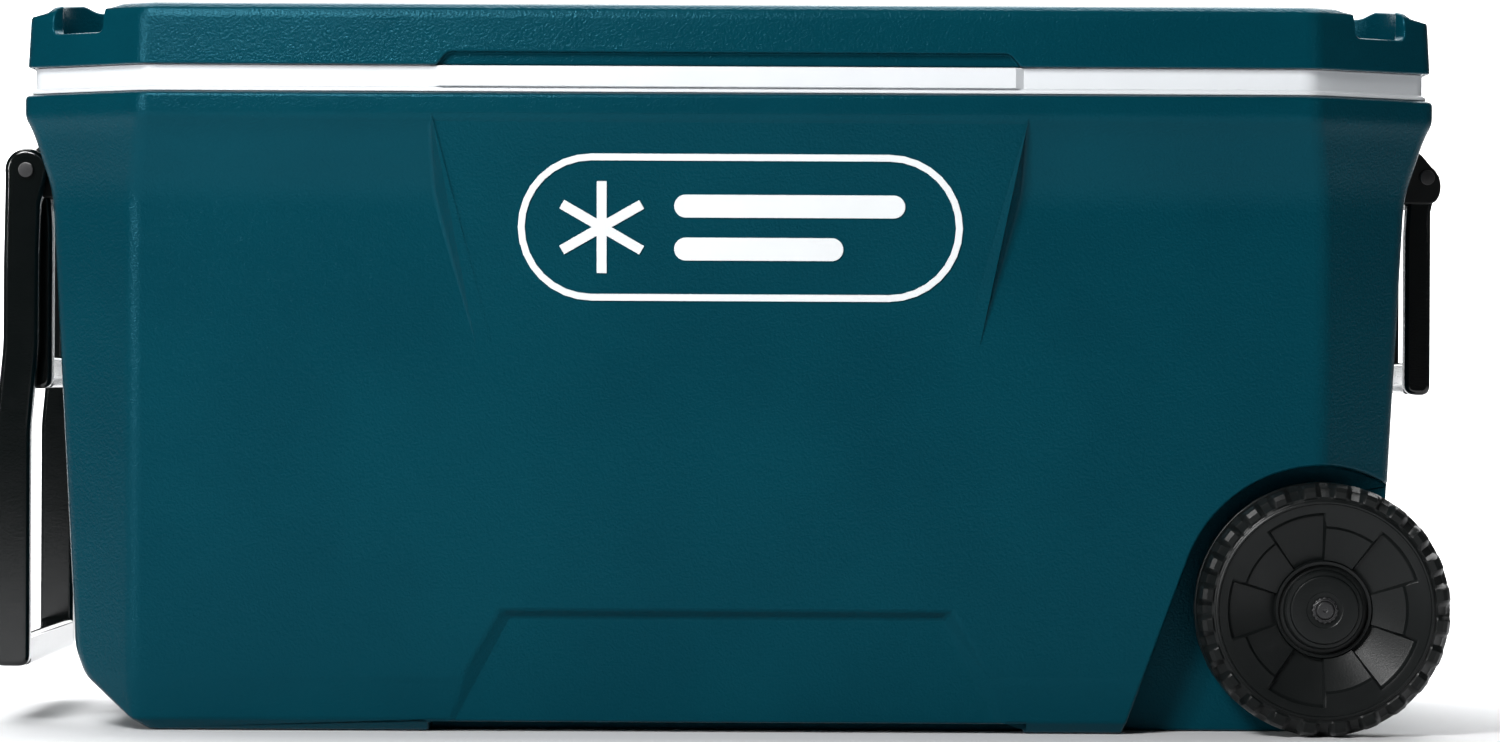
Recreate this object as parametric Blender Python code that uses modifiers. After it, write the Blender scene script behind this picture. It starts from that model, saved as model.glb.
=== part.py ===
"""A hard-sided picnic cooler that rolls on two wheels: tub, lid, wheels, handles, drain and hinges.

X runs along the cooler towards the wheels, Y runs to the back and Z is up. The origin is the
middle of the flat underside. Lengths are in metres.
"""

import math

import bmesh
import bpy
from mathutils import Matrix, Vector

# Fits and walls
GAP = 0.0003
SKIN = 0.003
WELD = 0.00002
CORNER_RATIO = 0.76
SMALLEST_CORNER = 0.004
FAR = 0.6

# Tub: height, half length, half width and the half length at the corner crease of each level
TUB_LEVELS = (
    (0.000, 0.3780, 0.1860, 0.374),
    (0.0075, 0.3900, 0.1925, 0.386),
    (0.034, 0.4220, 0.1950, 0.388),
    (0.051, 0.4290, 0.1955, 0.388),
    (0.352, 0.4460, 0.2040, 0.388),
    (0.387, 0.4580, 0.2155, 0.383),
    (0.394, 0.4595, 0.2175, 0.382),
    (0.402, 0.4645, 0.2225, 0.381),
    (0.414, 0.4645, 0.2225, 0.381),
    (0.416, 0.4625, 0.2205, 0.380),
)
RIM_TOP = 0.416
FOAM_TOP = 0.4155

# Raised middle panel of the long walls
PANEL_TOP = 0.405
PANEL_FOOT = 0.240
PANEL_TOP_Y = 0.2212
PANEL_FOOT_Y = 0.2005
# Half width, distance from the middle and height of its face, its foot and its edges in the wall
PANEL_POINTS = (
    (0.1950, PANEL_TOP_Y, PANEL_TOP),
    (0.1500, PANEL_FOOT_Y, PANEL_FOOT),
    (0.2010, 0.2040, PANEL_TOP),
    (0.1915, 0.2023, 0.3470),
    (0.1660, 0.1998, 0.2576),
    (0.1560, 0.1985, 0.2440),
)

# Shallow recess at the bottom of the long walls
TOE_WALL_Y = 0.1965
TOE_FACE_Y = 0.1905
# Half width and height of its corners, in the wall and on its face
TOE_CORNERS = (((0.1480, 0.0800), (0.1410, 0.0745)), ((0.2000, -0.0100), (0.1860, -0.0100)))
TOE_HALF_LOW = 0.194
TOE_LIFT = 0.006
TOE_LIFT_Y = 0.165

# Wheels, axle and the wells they stand in
AXLE_X = 0.3885
AXLE_Z = 0.0825
WHEEL_RADIUS = 0.0825
WHEEL_MIDDLE_Y = 0.1925
WELL_RADIUS = 0.093
WELL_INNER_Y = 0.155
WELL_LEAN = math.radians(69.8)
AXLE_RADIUS = 0.006
AXLE_HALF = 0.2165
SLEEVE_RADIUS = 0.009
SLEEVE_HALF = 0.1485
BUSH_RADIUS = 0.0085

# Liner: the white inner tub, with a step over the wheels and a wide top flange
LINER_LEVELS = (
    (0.030, 0.4020, 0.1630, 0.372),
    (0.450, 0.4286, 0.1865, 0.396),
)
STEP_X = 0.250
STEP_SIDE_Y = 0.130
STEP_SIDE_TOP = 0.195
STEP_MIDDLE_TOP = 0.110
FLANGE_LEVELS = (
    (0.4163, 0.4605, 0.2185, 0.3795),
    (0.4185, 0.4600, 0.2180, 0.3790),
    (0.4197, 0.4580, 0.2160, 0.3780),
    (0.4332, 0.4580, 0.2160, 0.3780),
)
FLANGE_TOP = 0.4332
BULGE_HALF = 0.192
BULGE_Y = 0.2200

# Lid
LID_BOTTOM = 0.4335
LID_TOP = 0.478
LID_LEVELS = (
    (0.4335, 0.4628, 0.2208, 0.3810),
    (0.4655, 0.4612, 0.2192, 0.3800),
    (0.4700, 0.4600, 0.2178, 0.3795),
    (0.4728, 0.4570, 0.2150, 0.3785),
    (0.4740, 0.4530, 0.2110, 0.3770),
    (0.4780, 0.4430, 0.1500, 0.3670),
)
# Top of each lid end from the plateau outwards: a slope, a groove from front to back and a low swell
END_PROFILE = (
    (0.3860, 0.4790), (0.3905, 0.4742), (0.4020, 0.4713), (0.4085, 0.4704), (0.4135, 0.4724), (0.4222, 0.4728),
    (0.4290, 0.4768), (0.4360, 0.4778), (0.4420, 0.4762), (0.4470, 0.4700), (0.4600, 0.4672), (0.4800, 0.4635),
)
CUP_X = 0.4003
CUP_Y = 0.1503
CUP_RADIUS = 0.040
CUP_FLOOR = 0.4540
NOTCH_HALF = 0.0222
NOTCH_FLOOR = 0.4550
FINGER_HALF = 0.190
FINGER_TOP = 0.4422
FINGER_FACE_Y = 0.2148
LID_SHEET_LOW = 0.4336
LID_SHEET_TOP = 0.4366
PLUG_HALF_X = 0.4185
PLUG_HALF_Y = 0.1765
PLUG_LOW = 0.4226

# Handles and their brackets, by distance outwards from the middle of the cooler
PIVOT_OUT = 0.468
PIVOT_Z = 0.3677
ROD_RADIUS = 0.003
ROD_BORE = 0.0034
LIFT_LEG_Y = (0.0755, 0.0945)
SLOT_Y = (0.0740, 0.0960)
TOW_LEG_Y = (0.1065, 0.1235)
BRACKET_HALF_Y = 0.100
LIFT_EYE = 0.0085
TOW_EYE = 0.0145
BRACKET_SCREW_Y = 0.045
BRACKET_SCREW_Z = (0.3575, 0.3775)
BRACKET_SEAT = 0.4640
BRACKET_SCREW_DEPTH = (0.0158, 0.0091)
BRACKET_SHANK_HOLE = 0.0022
BRACKET_HEAD_HOLE = 0.0045
SLOT_FROM = 0.4530
ROD_HEAD_RADIUS = 0.005
ROD_HEAD_LENGTH = 0.0025
ROD_TAIL = 0.005
CLIP_RADIUS = 0.0055
CLIP_HALF = 0.0012

# Drain at the handle end
DRAIN_Z = 0.050
DRAIN_SEAT = 0.4165
DRAIN_POCKET = 0.025
DRAIN_BORE = 0.0075
DRAIN_TUBE = 0.0105

# Hinges at the back
HINGE_X = 0.250
HINGE_Y = 0.2295
HINGE_Z = 0.4335
HINGE_HALF = 0.025
KNUCKLE_RADIUS = 0.0048
KNUCKLE_SPLIT = 0.010
PIN_RADIUS = 0.0020
PIN_OVER = 0.0010
HINGE_SCREW_X = 0.017
HINGE_SHANK_HOLE = 0.0020
# Leaves: inner and outer face, bottom and top, web, screw height and screw length
BODY_LEAF = ((0.2228, 0.2258), (0.4030, 0.4283), (0.4270, 0.4330), 0.4080, 0.0057)
LID_LEAF = ((0.2212, 0.2242), (0.4392, 0.4640), (0.4345, 0.4400), 0.4540, 0.0068)
WEB_Y = 0.2290

# Front graphic, lying on the sloped middle panel
BADGE_X = 0.008
BADGE_Z = 0.329
BADGE_HALF = (0.1445, 0.048)
BADGE_LINE = 0.0045
BADGE_THICKNESS = 0.0008

COLOURS = {
    "teal_shell": ((0.004, 0.055, 0.085, 1), 0.42, 0.0),
    "white_liner": ((0.86, 0.88, 0.90, 1), 0.40, 0.0),
    "foam": ((0.85, 0.80, 0.62, 1), 0.9, 0.0),
    "black_gloss": ((0.006, 0.006, 0.007, 1), 0.15, 0.0),
    "black_matte": ((0.018, 0.019, 0.020, 1), 0.6, 0.0),
    "steel": ((0.55, 0.55, 0.56, 1), 0.3, 1.0),
    "dark_steel": ((0.015, 0.015, 0.016, 1), 0.35, 0.0),
    "white_print": ((0.9, 0.92, 0.93, 1), 0.35, 0.0),
    "seal_rubber": ((0.03, 0.03, 0.03, 1), 0.8, 0.0),
}


def clear_scene():
    for obj in list(bpy.data.objects):
        bpy.data.objects.remove(obj, do_unlink=True)


def new_group(name):
    group = bpy.data.collections.new(name)
    bpy.context.scene.collection.children.link(group)
    return group


def make_material(name):
    colour, roughness, metallic = COLOURS[name]
    material = bpy.data.materials.new(name)
    material.use_nodes = True
    shader = material.node_tree.nodes["Principled BSDF"]
    shader.inputs["Base Color"].default_value = colour
    shader.inputs["Roughness"].default_value = roughness
    shader.inputs["Metallic"].default_value = metallic
    return material


def place(obj, look):
    """Puts a piece in the cooler's group with its own material, or a cutter in the other group."""
    if look is None:
        CUTTERS.objects.link(obj)
        obj.hide_render = True
        obj.display_type = "WIRE"
        return obj
    COOLER.objects.link(obj)
    material = make_material(look)
    obj.data.materials.clear()
    obj.data.materials.append(material)
    return obj


def from_bmesh(name, bm, look):
    bmesh.ops.recalc_face_normals(bm, faces=bm.faces)
    mesh = bpy.data.meshes.new(name)
    bm.to_mesh(mesh)
    bm.free()
    return place(bpy.data.objects.new(name, mesh), look)


def box(name, low, high, look=None, turn=Matrix.Identity(4)):
    """A box between two corners, turned about the origin if asked."""
    low, high = Vector(low), Vector(high)
    size = Matrix.Diagonal((*(high - low), 1))
    bm = bmesh.new()
    bmesh.ops.create_cube(bm, size=1, matrix=turn @ Matrix.Translation((low + high) / 2) @ size)
    return from_bmesh(name, bm, look)


def cylinder(name, centre, axis, radius, length, look=None, sides=24):
    bm = bmesh.new()
    turn = Vector((0, 0, 1)).rotation_difference(Vector(axis)).to_matrix().to_4x4()
    bmesh.ops.create_cone(
        bm, cap_ends=True, segments=sides, radius1=radius, radius2=radius, depth=length,
        matrix=Matrix.Translation(centre) @ turn,
    )
    return from_bmesh(name, bm, look)


def hull(name, points, look=None):
    bm = bmesh.new()
    corners = [bm.verts.new(point) for point in points]
    made = bmesh.ops.convex_hull(bm, input=corners)
    spare = [item for item in made["geom_interior"] if isinstance(item, bmesh.types.BMVert)]
    bmesh.ops.delete(bm, geom=spare, context="VERTS")
    return from_bmesh(name, bm, look)


def corner_outline(half_x, half_y, crease_x, inset):
    """A rectangle with its corners cut off, moved inwards by the inset on every side."""
    cut_x = max(half_x - crease_x, SMALLEST_CORNER)
    cut_y = cut_x * CORNER_RATIO
    reach = cut_y * half_x + cut_x * (half_y - cut_y) - inset * math.hypot(cut_x, cut_y)
    end_x, side_y = half_x - inset, half_y - inset
    corner_x = (reach - cut_x * side_y) / cut_y
    corner_y = (reach - cut_y * end_x) / cut_x
    quarter = [(end_x, corner_y), (corner_x, side_y)]
    mirrored = [(-x, y) for x, y in reversed(quarter)]
    upper = quarter + mirrored
    return upper + [(-x, -y) for x, y in upper]


def slide(end, neighbour, height):
    """An end level moved to a new height along the line to its neighbour."""
    share = (height - neighbour[0]) / (end[0] - neighbour[0])
    return [near + share * (far - near) for near, far in zip(neighbour, end)]


def loft(name, levels, look=None, inset=0.0, low=None, high=None):
    """A closed form through the outlines of its levels, with its ends slid to low and high."""
    levels = list(levels)
    if low is not None:
        levels[0] = slide(levels[0], levels[1], low)
    if high is not None:
        levels[-1] = slide(levels[-1], levels[-2], high)
    bm = bmesh.new()
    rings = []
    for height, half_x, half_y, crease_x in levels:
        outline = corner_outline(half_x, half_y, crease_x, inset)
        rings.append([bm.verts.new((x, y, height)) for x, y in outline])
    for lower, upper in zip(rings, rings[1:]):
        for index in range(len(lower)):
            after = (index + 1) % len(lower)
            bm.faces.new((lower[index], lower[after], upper[after], upper[index]))
    bm.faces.new(rings[0])
    bm.faces.new(rings[-1])
    bmesh.ops.triangulate(bm, faces=bm.faces)
    return from_bmesh(name, bm, look)


def plate(name, outline, thickness, placing, look=None):
    """A flat outline with a thickness, centred on its own XY plane and then placed."""
    curve = bpy.data.curves.new(name, "CURVE")
    curve.dimensions = "2D"
    curve.fill_mode = "BOTH"
    curve.extrude = thickness / 2
    for loop in outline if isinstance(outline[0], list) else [outline]:
        spline = curve.splines.new("POLY")
        spline.points.add(len(loop) - 1)
        for point, (x, y) in zip(spline.points, loop):
            point.co = (x, y, 0, 1)
        spline.use_cyclic_u = True
    drawn = bpy.data.objects.new(name + "_outline", curve)
    bpy.context.scene.collection.objects.link(drawn)
    graph = bpy.context.evaluated_depsgraph_get()
    mesh = bpy.data.meshes.new_from_object(drawn.evaluated_get(graph))
    bpy.data.objects.remove(drawn)
    bm = bmesh.new()
    bm.from_mesh(mesh)
    bmesh.ops.remove_doubles(bm, verts=bm.verts, dist=WELD)
    bmesh.ops.transform(bm, matrix=placing, verts=bm.verts)
    return from_bmesh(name, bm, look)


def side_plate(name, outline, low_y, high_y, look=None):
    """An outline in X and Z, extruded along Y."""
    placing = Matrix.Translation((0, (low_y + high_y) / 2, 0)) @ Matrix.Rotation(math.pi / 2, 4, "X")
    return plate(name, outline, high_y - low_y, placing, look)


def turned(name, profile, centre, axis, look, ring=False, steps=32):
    """A profile of radius and height turned round an axis through its centre."""
    mesh = bpy.data.meshes.new(name)
    edges = [(index, index + 1) for index in range(len(profile) - 1)]
    if ring:
        edges.append((len(profile) - 1, 0))
    mesh.from_pydata([(radius, 0, height) for radius, height in profile], edges, [])
    obj = place(bpy.data.objects.new(name, mesh), look)
    obj.location = centre
    obj.rotation_mode = "QUATERNION"
    obj.rotation_quaternion = Vector((0, 0, 1)).rotation_difference(Vector(axis))
    screw = obj.modifiers.new("turn", "SCREW")
    screw.steps = screw.render_steps = steps
    screw.use_merge_vertices = True
    screw.merge_threshold = 0.0001
    screw.use_smooth_shade = False
    return obj


def combine(target, other, operation):
    change = target.modifiers.new(f"{operation.lower()}_{other.name}", "BOOLEAN")
    change.operation = operation
    change.object = other
    change.solver = "EXACT"
    return target


def cut(target, *others):
    for other in others:
        combine(target, other, "DIFFERENCE")
    return target


def join(target, *others):
    for other in others:
        combine(target, other, "UNION")
    return target


def tube_profile(outer, bore, half):
    return [(bore, half), (outer, half), (outer, -half), (bore, -half)]


# ---- tub -------------------------------------------------------------------------------------


def middle_panel(name, side, inset):
    """The wedge that stands proud of a long wall, widest and proudest at the rim."""
    points = [(sign * (x - inset), side * (y - inset), z) for x, y, z in PANEL_POINTS for sign in (-1, 1)]
    return hull(name, points)


def toe_recess(name, side, inset):
    """Cutters for the recess at a long wall's foot and the raised edge under it."""
    points = []
    for (wall_x, wall_z), (face_x, face_z) in TOE_CORNERS:
        for reach in (0.0, 1.7):
            x = face_x + (wall_x - face_x) * reach + inset
            y = TOE_FACE_Y + (TOE_WALL_Y - TOE_FACE_Y) * reach - inset
            z = face_z + (wall_z - face_z) * reach + (inset if face_z > 0 else 0)
            points += [(x, side * y, z), (-x, side * y, z)]
    half = TOE_HALF_LOW + inset
    edge = sorted((side * (TOE_LIFT_Y - inset), side * 0.25))
    lift = box(name + "_edge", (-half, edge[0], -0.02), (half, edge[1], TOE_LIFT + inset))
    return [hull(name + "_face", points), lift]


def wheel_well(name, side, inset):
    """An arch over the wheel with a leaning leg towards the middle, open below and at the end."""
    radius = WELL_RADIUS + inset
    start = math.pi / 2 + WELL_LEAN
    foot_x = AXLE_X + radius * math.cos(start)
    foot_z = AXLE_Z + radius * math.sin(start)
    low = -0.02
    outline = [(foot_x - (foot_z - low) / math.tan(WELL_LEAN), low)]
    steps = 20
    for step in range(steps + 1):
        angle = start * (1 - step / steps)
        outline.append((AXLE_X + radius * math.cos(angle), AXLE_Z + radius * math.sin(angle)))
    outline[-1] = (AXLE_X + radius, AXLE_Z)
    outline.append((AXLE_X + radius, low))
    return side_plate(name, outline, *sorted((side * (WELL_INNER_Y - inset), side * 0.25)))


def tub_form(name, inset, look=None, high=None):
    form = loft(name, TUB_LEVELS, look, inset, low=inset, high=high)
    for side, where in ((-1, "front"), (1, "rear")):
        join(form, middle_panel(f"{name}_{where}_panel", side, inset))
        cut(form, *toe_recess(f"{name}_{where}_toe", side, inset))
        cut(form, wheel_well(f"{name}_{where}_well", side, inset))
    pocket_length = 0.06
    pocket_x = -(DRAIN_SEAT - inset) - pocket_length / 2
    cut(form, cylinder(f"{name}_pocket", (pocket_x, 0, DRAIN_Z), (1, 0, 0), DRAIN_POCKET + inset, pocket_length))
    return form


def liner_form(name, inset, top, look=None):
    """The liner's outer form moved inwards by the inset, with its leaning walls cut off at the top."""
    form = loft(name, LINER_LEVELS, look, inset, low=LINER_LEVELS[0][0] + inset, high=top)
    inner = STEP_X - inset
    side_y = STEP_SIDE_Y - inset
    side_top = STEP_SIDE_TOP + inset
    cut(
        form,
        box(name + "_step_front", (inner, -FAR, -0.1), (FAR, -side_y, side_top)),
        box(name + "_step_rear", (inner, side_y, -0.1), (FAR, FAR, side_top)),
        box(name + "_step_middle", (inner, -FAR / 2, -0.12), (FAR + 0.01, FAR / 2, STEP_MIDDLE_TOP + inset)),
    )
    return form


def build_tub():
    shell = tub_form("body_shell", 0.0, "teal_shell")
    inside = tub_form("shell_inside", SKIN, high=RIM_TOP + 0.02)
    cut(shell, inside)
    for side in (-1, 1):
        cut(shell, cylinder(f"well_hole_{side}", (AXLE_X, side * 0.1535, AXLE_Z), (0, 1, 0), BUSH_RADIUS + GAP, 0.02))

    foam = tub_form("body_foam", SKIN + GAP, "foam", high=FOAM_TOP)
    cut(foam, liner_form("foam_inside", -GAP, RIM_TOP + 0.05))
    cut(foam, cylinder("sleeve_hole", (AXLE_X, 0, AXLE_Z), (0, 1, 0), SLEEVE_RADIUS + GAP, 0.5))

    liner = liner_form("body_liner", 0.0, FLANGE_TOP, "white_liner")
    flange = loft("liner_flange", FLANGE_LEVELS)
    bulge_points = [
        (sign * (BULGE_HALF - taper), -y, z)
        for sign in (-1, 1)
        for taper, y in ((0.0, 0.2155), (0.006, BULGE_Y), (0.0, 0.200))
        for z in (0.4197, FLANGE_TOP)
    ]
    join(liner, flange, hull("flange_bulge", bulge_points))
    cut(liner, liner_form("liner_inside", SKIN, FLANGE_TOP + 0.02))
    drain_hole = cylinder("drain_hole", (-0.40, 0, DRAIN_Z), (1, 0, 0), DRAIN_TUBE + GAP, 0.07)
    for piece in (shell, foam, liner):
        cut(piece, drain_hole)
    return shell


# ---- lid -------------------------------------------------------------------------------------


def end_trim(name, side, inset):
    """What is cut from the top of a lid end, down to its profile."""
    over = LID_TOP + 0.03
    outline = [(END_PROFILE[0][0], over), *[(x, z - inset) for x, z in END_PROFILE], (END_PROFILE[-1][0], over)]
    return side_plate(name, [(side * x, z) for x, z in outline], -0.3, 0.3)


def cup_recess(name, side_x, side_y, inset):
    """A round recess near a lid corner, and the notch that opens it through the corner."""
    height = 0.05
    floor = CUP_FLOOR - inset
    cup = cylinder(
        name, (side_x * CUP_X, side_y * CUP_Y, floor + height / 2), (0, 0, 1), CUP_RADIUS + inset, height, sides=32
    )
    notch_floor = NOTCH_FLOOR - inset
    outward = math.atan2(side_y, side_x * CORNER_RATIO)
    place_notch = Matrix.Translation((side_x * CUP_X, side_y * CUP_Y, 0)) @ Matrix.Rotation(outward, 4, "Z")
    half = NOTCH_HALF + inset
    notch = box(name + "_notch", (0, -half, notch_floor), (0.09, half, notch_floor + 0.06), turn=place_notch)
    return [cup, notch]


def finger_recess(name, inset):
    half, slant = FINGER_HALF + inset, 0.008
    top = FINGER_TOP + inset
    low = LID_BOTTOM - 0.01
    outline = [(-half - slant, low), (half + slant, low), (half - slant, top), (-half + slant, top)]
    return side_plate(name, outline, -0.3, -(FINGER_FACE_Y - inset))


def lid_form(name, inset, look=None, low=None):
    levels = [(level[0] - inset, *level[1:]) for level in LID_LEVELS]
    form = loft(name, levels, look, inset, low=LID_BOTTOM if low is None else low)
    cut(form, end_trim(name + "_end_left", -1, inset), end_trim(name + "_end_right", 1, inset))
    for side_x in (-1, 1):
        for side_y in (-1, 1):
            cut(form, *cup_recess(f"{name}_cup_{side_x}_{side_y}", side_x, side_y, inset))
    return cut(form, finger_recess(name + "_finger", inset))


def build_lid():
    shell = lid_form("lid_shell", 0.0, "teal_shell")
    cut(shell, lid_form("lid_inside", SKIN, low=LID_BOTTOM - 0.01))

    sheet_levels = [(LID_SHEET_LOW, *LID_LEVELS[0][1:]), (LID_SHEET_TOP, *LID_LEVELS[0][1:])]
    sheet_inset = SKIN + 2 * GAP
    liner = loft("lid_liner", sheet_levels, "white_liner", inset=sheet_inset)
    cut(liner, finger_recess("sheet_finger", sheet_inset))
    plug_size = (PLUG_HALF_X, PLUG_HALF_Y, PLUG_HALF_X - 0.03)
    plug_levels = [(PLUG_LOW, *plug_size), (LID_SHEET_LOW + 0.001, *plug_size)]
    join(liner, loft("plug", plug_levels))
    cut(liner, loft("plug_inside", plug_levels, inset=SKIN, low=PLUG_LOW + SKIN, high=LID_SHEET_TOP + 0.01))

    foam = lid_form("lid_foam", SKIN + GAP, "foam", low=LID_SHEET_TOP + GAP)
    join(foam, loft("plug_foam", plug_levels, inset=SKIN + GAP, low=PLUG_LOW + SKIN + GAP, high=LID_SHEET_TOP + 0.004))
    return [shell, liner, foam]


# ---- handles ---------------------------------------------------------------------------------


def eye(radius, start, end, steps=8):
    """Points round the pivot, in degrees from straight out."""
    angles = [math.radians(start + (end - start) * step / steps) for step in range(steps + 1)]
    return [(PIVOT_OUT + radius * math.cos(a), PIVOT_Z + radius * math.sin(a)) for a in angles]


LIFT_LEG = eye(LIFT_EYE, -20, 180) + [
    (0.4560, 0.352), (0.4545, 0.330), (0.4545, 0.2335), (0.4565, 0.2240), (0.4590, 0.2215),
    (0.4660, 0.2215), (0.4700, 0.2240), (0.4716, 0.2285), (0.4716, 0.345),
]
TOW_LEG = eye(TOW_EYE, -10, 180) + [
    (0.4590, 0.345), (0.4600, 0.306), (0.4600, 0.251), (0.4650, 0.196), (0.4650, 0.056), (0.4665, 0.045),
    (0.4700, 0.038), (0.4740, 0.037), (0.4850, 0.037), (0.4880, 0.040), (0.4885, 0.060), (0.4885, 0.196),
    (0.4832, 0.251), (0.4832, 0.306), (0.4825, 0.345),
]
LIFT_BAR = ((0.4550, 0.2222), (0.4712, 0.2435))
TOW_BAR = ((0.4665, 0.0377), (0.4880, 0.0585))
BRACKET = [
    (0.4473, 0.3500), (0.4700, 0.3500), (0.4740, 0.3515), (0.4768, 0.3560), (0.4776, 0.3620),
    (0.4765, 0.3685), (0.4640, 0.3835), (0.4610, 0.3847), (0.4580, 0.3847), (0.4478, 0.3530),
]


def swing_handle(name, side, leg, leg_y, bar):
    """Two legs and a bar, joined, hanging from eyes on the pivot rod."""
    outline = [(side * x, z) for x, z in leg]
    handle = side_plate(name, outline, -leg_y[1], -leg_y[0], "black_gloss")
    join(handle, side_plate(name + "_rear_leg", outline, *leg_y))
    (inner, low), (outer, high) = bar
    ends = sorted((side * inner, side * outer))
    join(handle, box(name + "_bar", (ends[0], -leg_y[0] - 0.004, low), (ends[1], leg_y[0] + 0.004, high)))
    cut(handle, cylinder(name + "_bore", (side * PIVOT_OUT, 0, PIVOT_Z), (0, 1, 0), ROD_BORE, 0.3, sides=16))
    return handle


def screw_profile(shank, head, head_height, length):
    return [(0, head_height), (head * 0.7, head_height), (head, head_height * 0.5), (head, 0), (shank, 0),
            (shank, -length), (0, -length)]


def build_end(side, where, shell):
    bracket = side_plate(
        f"end_bracket_{where}", [(side * x, z) for x, z in BRACKET], -BRACKET_HALF_Y, BRACKET_HALF_Y, "black_matte"
    )
    for near, far in (SLOT_Y, (-SLOT_Y[1], -SLOT_Y[0])):
        ends = sorted((side * SLOT_FROM, side * (SLOT_FROM + 0.04)))
        cut(bracket, box(f"slot_{where}_{near}", (ends[0], near, 0.30), (ends[1], far, 0.40)))
    cut(bracket, cylinder(f"rod_hole_{where}", (side * PIVOT_OUT, 0, PIVOT_Z), (0, 1, 0), ROD_BORE, 0.3, sides=16))
    screw_rows = [(height, y) for height in BRACKET_SCREW_Z for y in (-BRACKET_SCREW_Y, BRACKET_SCREW_Y)]
    for number, (height, y) in enumerate(screw_rows, start=1):
        axis = (side, 0, 0)
        hole = cylinder(
            f"shank_hole_{where}_{number}", (side * (BRACKET_SEAT - 0.009), y, height), axis, BRACKET_SHANK_HOLE, 0.04,
            sides=12,
        )
        pocket = cylinder(
            f"head_hole_{where}_{number}", (side * (BRACKET_SEAT + 0.02), y, height), axis, BRACKET_HEAD_HOLE, 0.04,
            sides=16,
        )
        cut(bracket, pocket, hole)
        cut(shell, hole)
        depth = BRACKET_SCREW_DEPTH[BRACKET_SCREW_Z.index(height)] + 0.0025
        turned(
            f"bracket_screw_{where}_{number}", screw_profile(0.0019, 0.0040, 0.0024, depth),
            (side * (BRACKET_SEAT + GAP), y, height), axis, "steel", steps=12,
        )
    lift = swing_handle(f"lift_handle_{where}", side, LIFT_LEG, LIFT_LEG_Y, LIFT_BAR)
    pivot = empty(f"handle_pivot_{where}", (side * PIVOT_OUT, 0, PIVOT_Z))
    ride(pivot, lift)
    reach = TOW_LEG_Y[1] if side < 0 else BRACKET_HALF_Y
    if side < 0:
        ride(pivot, swing_handle("tow_handle", side, TOW_LEG, TOW_LEG_Y, TOW_BAR))
    under_head = reach + 0.0005
    top = under_head + ROD_HEAD_LENGTH
    rod = [(0, top), (ROD_HEAD_RADIUS, top), (ROD_HEAD_RADIUS, under_head), (ROD_RADIUS, under_head),
           (ROD_RADIUS, -reach - ROD_TAIL), (0, -reach - ROD_TAIL)]
    turned(f"pivot_rod_{where}", rod, (side * PIVOT_OUT, 0, PIVOT_Z), (0, -1, 0), "dark_steel", steps=16)
    clip = tube_profile(CLIP_RADIUS, ROD_RADIUS + GAP, CLIP_HALF)
    turned(f"rod_clip_{where}", clip, (side * PIVOT_OUT, reach + 0.0020, PIVOT_Z), (0, 1, 0), "dark_steel", True, 16)


# ---- wheels ----------------------------------------------------------------------------------

WHEEL_PROFILE = [
    (0.0065, 0.0195), (0.0105, 0.0205), (0.0220, 0.0205), (0.0245, 0.0190), (0.0262, 0.0120), (0.0310, 0.0075),
    (0.0620, 0.0195), (0.0640, 0.0225), (0.0725, 0.0245), (0.0775, 0.0240), (WHEEL_RADIUS, 0.0190),
    (WHEEL_RADIUS, -0.0190), (0.0775, -0.0240), (0.0700, -0.0245), (0.0670, -0.0100), (0.0250, -0.0040),
    (0.0200, -0.0325), (0.0065, -0.0325),
]


def build_wheels():
    turned(
        "axle", [(0, AXLE_HALF), (AXLE_RADIUS - 0.0008, AXLE_HALF), (AXLE_RADIUS, AXLE_HALF - 0.0008),
                 (AXLE_RADIUS, -AXLE_HALF + 0.0008), (AXLE_RADIUS - 0.0008, -AXLE_HALF), (0, -AXLE_HALF)],
        (AXLE_X, 0, AXLE_Z), (0, 1, 0), "dark_steel", steps=16,
    )
    turned("axle_sleeve", tube_profile(SLEEVE_RADIUS, AXLE_RADIUS + 0.0006, SLEEVE_HALF), (AXLE_X, 0, AXLE_Z),
           (0, 1, 0), "black_matte", True, 16)
    for side, where in ((-1, "front"), (1, "rear")):
        axis = (0, side, 0)
        bush = [
            (0.0063, 0.0020), (0.0130, 0.0020), (0.0130, GAP),
            (BUSH_RADIUS, GAP), (BUSH_RADIUS, -0.0060), (0.0063, -0.0060),
        ]
        turned(f"axle_bush_{where}", bush, (AXLE_X, side * WELL_INNER_Y, AXLE_Z), axis, "black_matte", True, 16)
        turned(f"wheel_washer_{where}", tube_profile(0.0115, 0.0063, 0.0009), (AXLE_X, side * 0.1584, AXLE_Z), axis,
               "steel", True, 16)
        turned(f"wheel_{where}", WHEEL_PROFILE, (AXLE_X, side * WHEEL_MIDDLE_Y, AXLE_Z), axis, "black_matte", True, 32)
        turned(f"push_nut_{where}", tube_profile(0.0088, 0.0063, 0.0011),
               (AXLE_X, side * (WHEEL_MIDDLE_Y + 0.0205 + GAP + 0.0011), AXLE_Z), axis, "dark_steel", True, 16)


# ---- drain -----------------------------------------------------------------------------------


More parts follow.
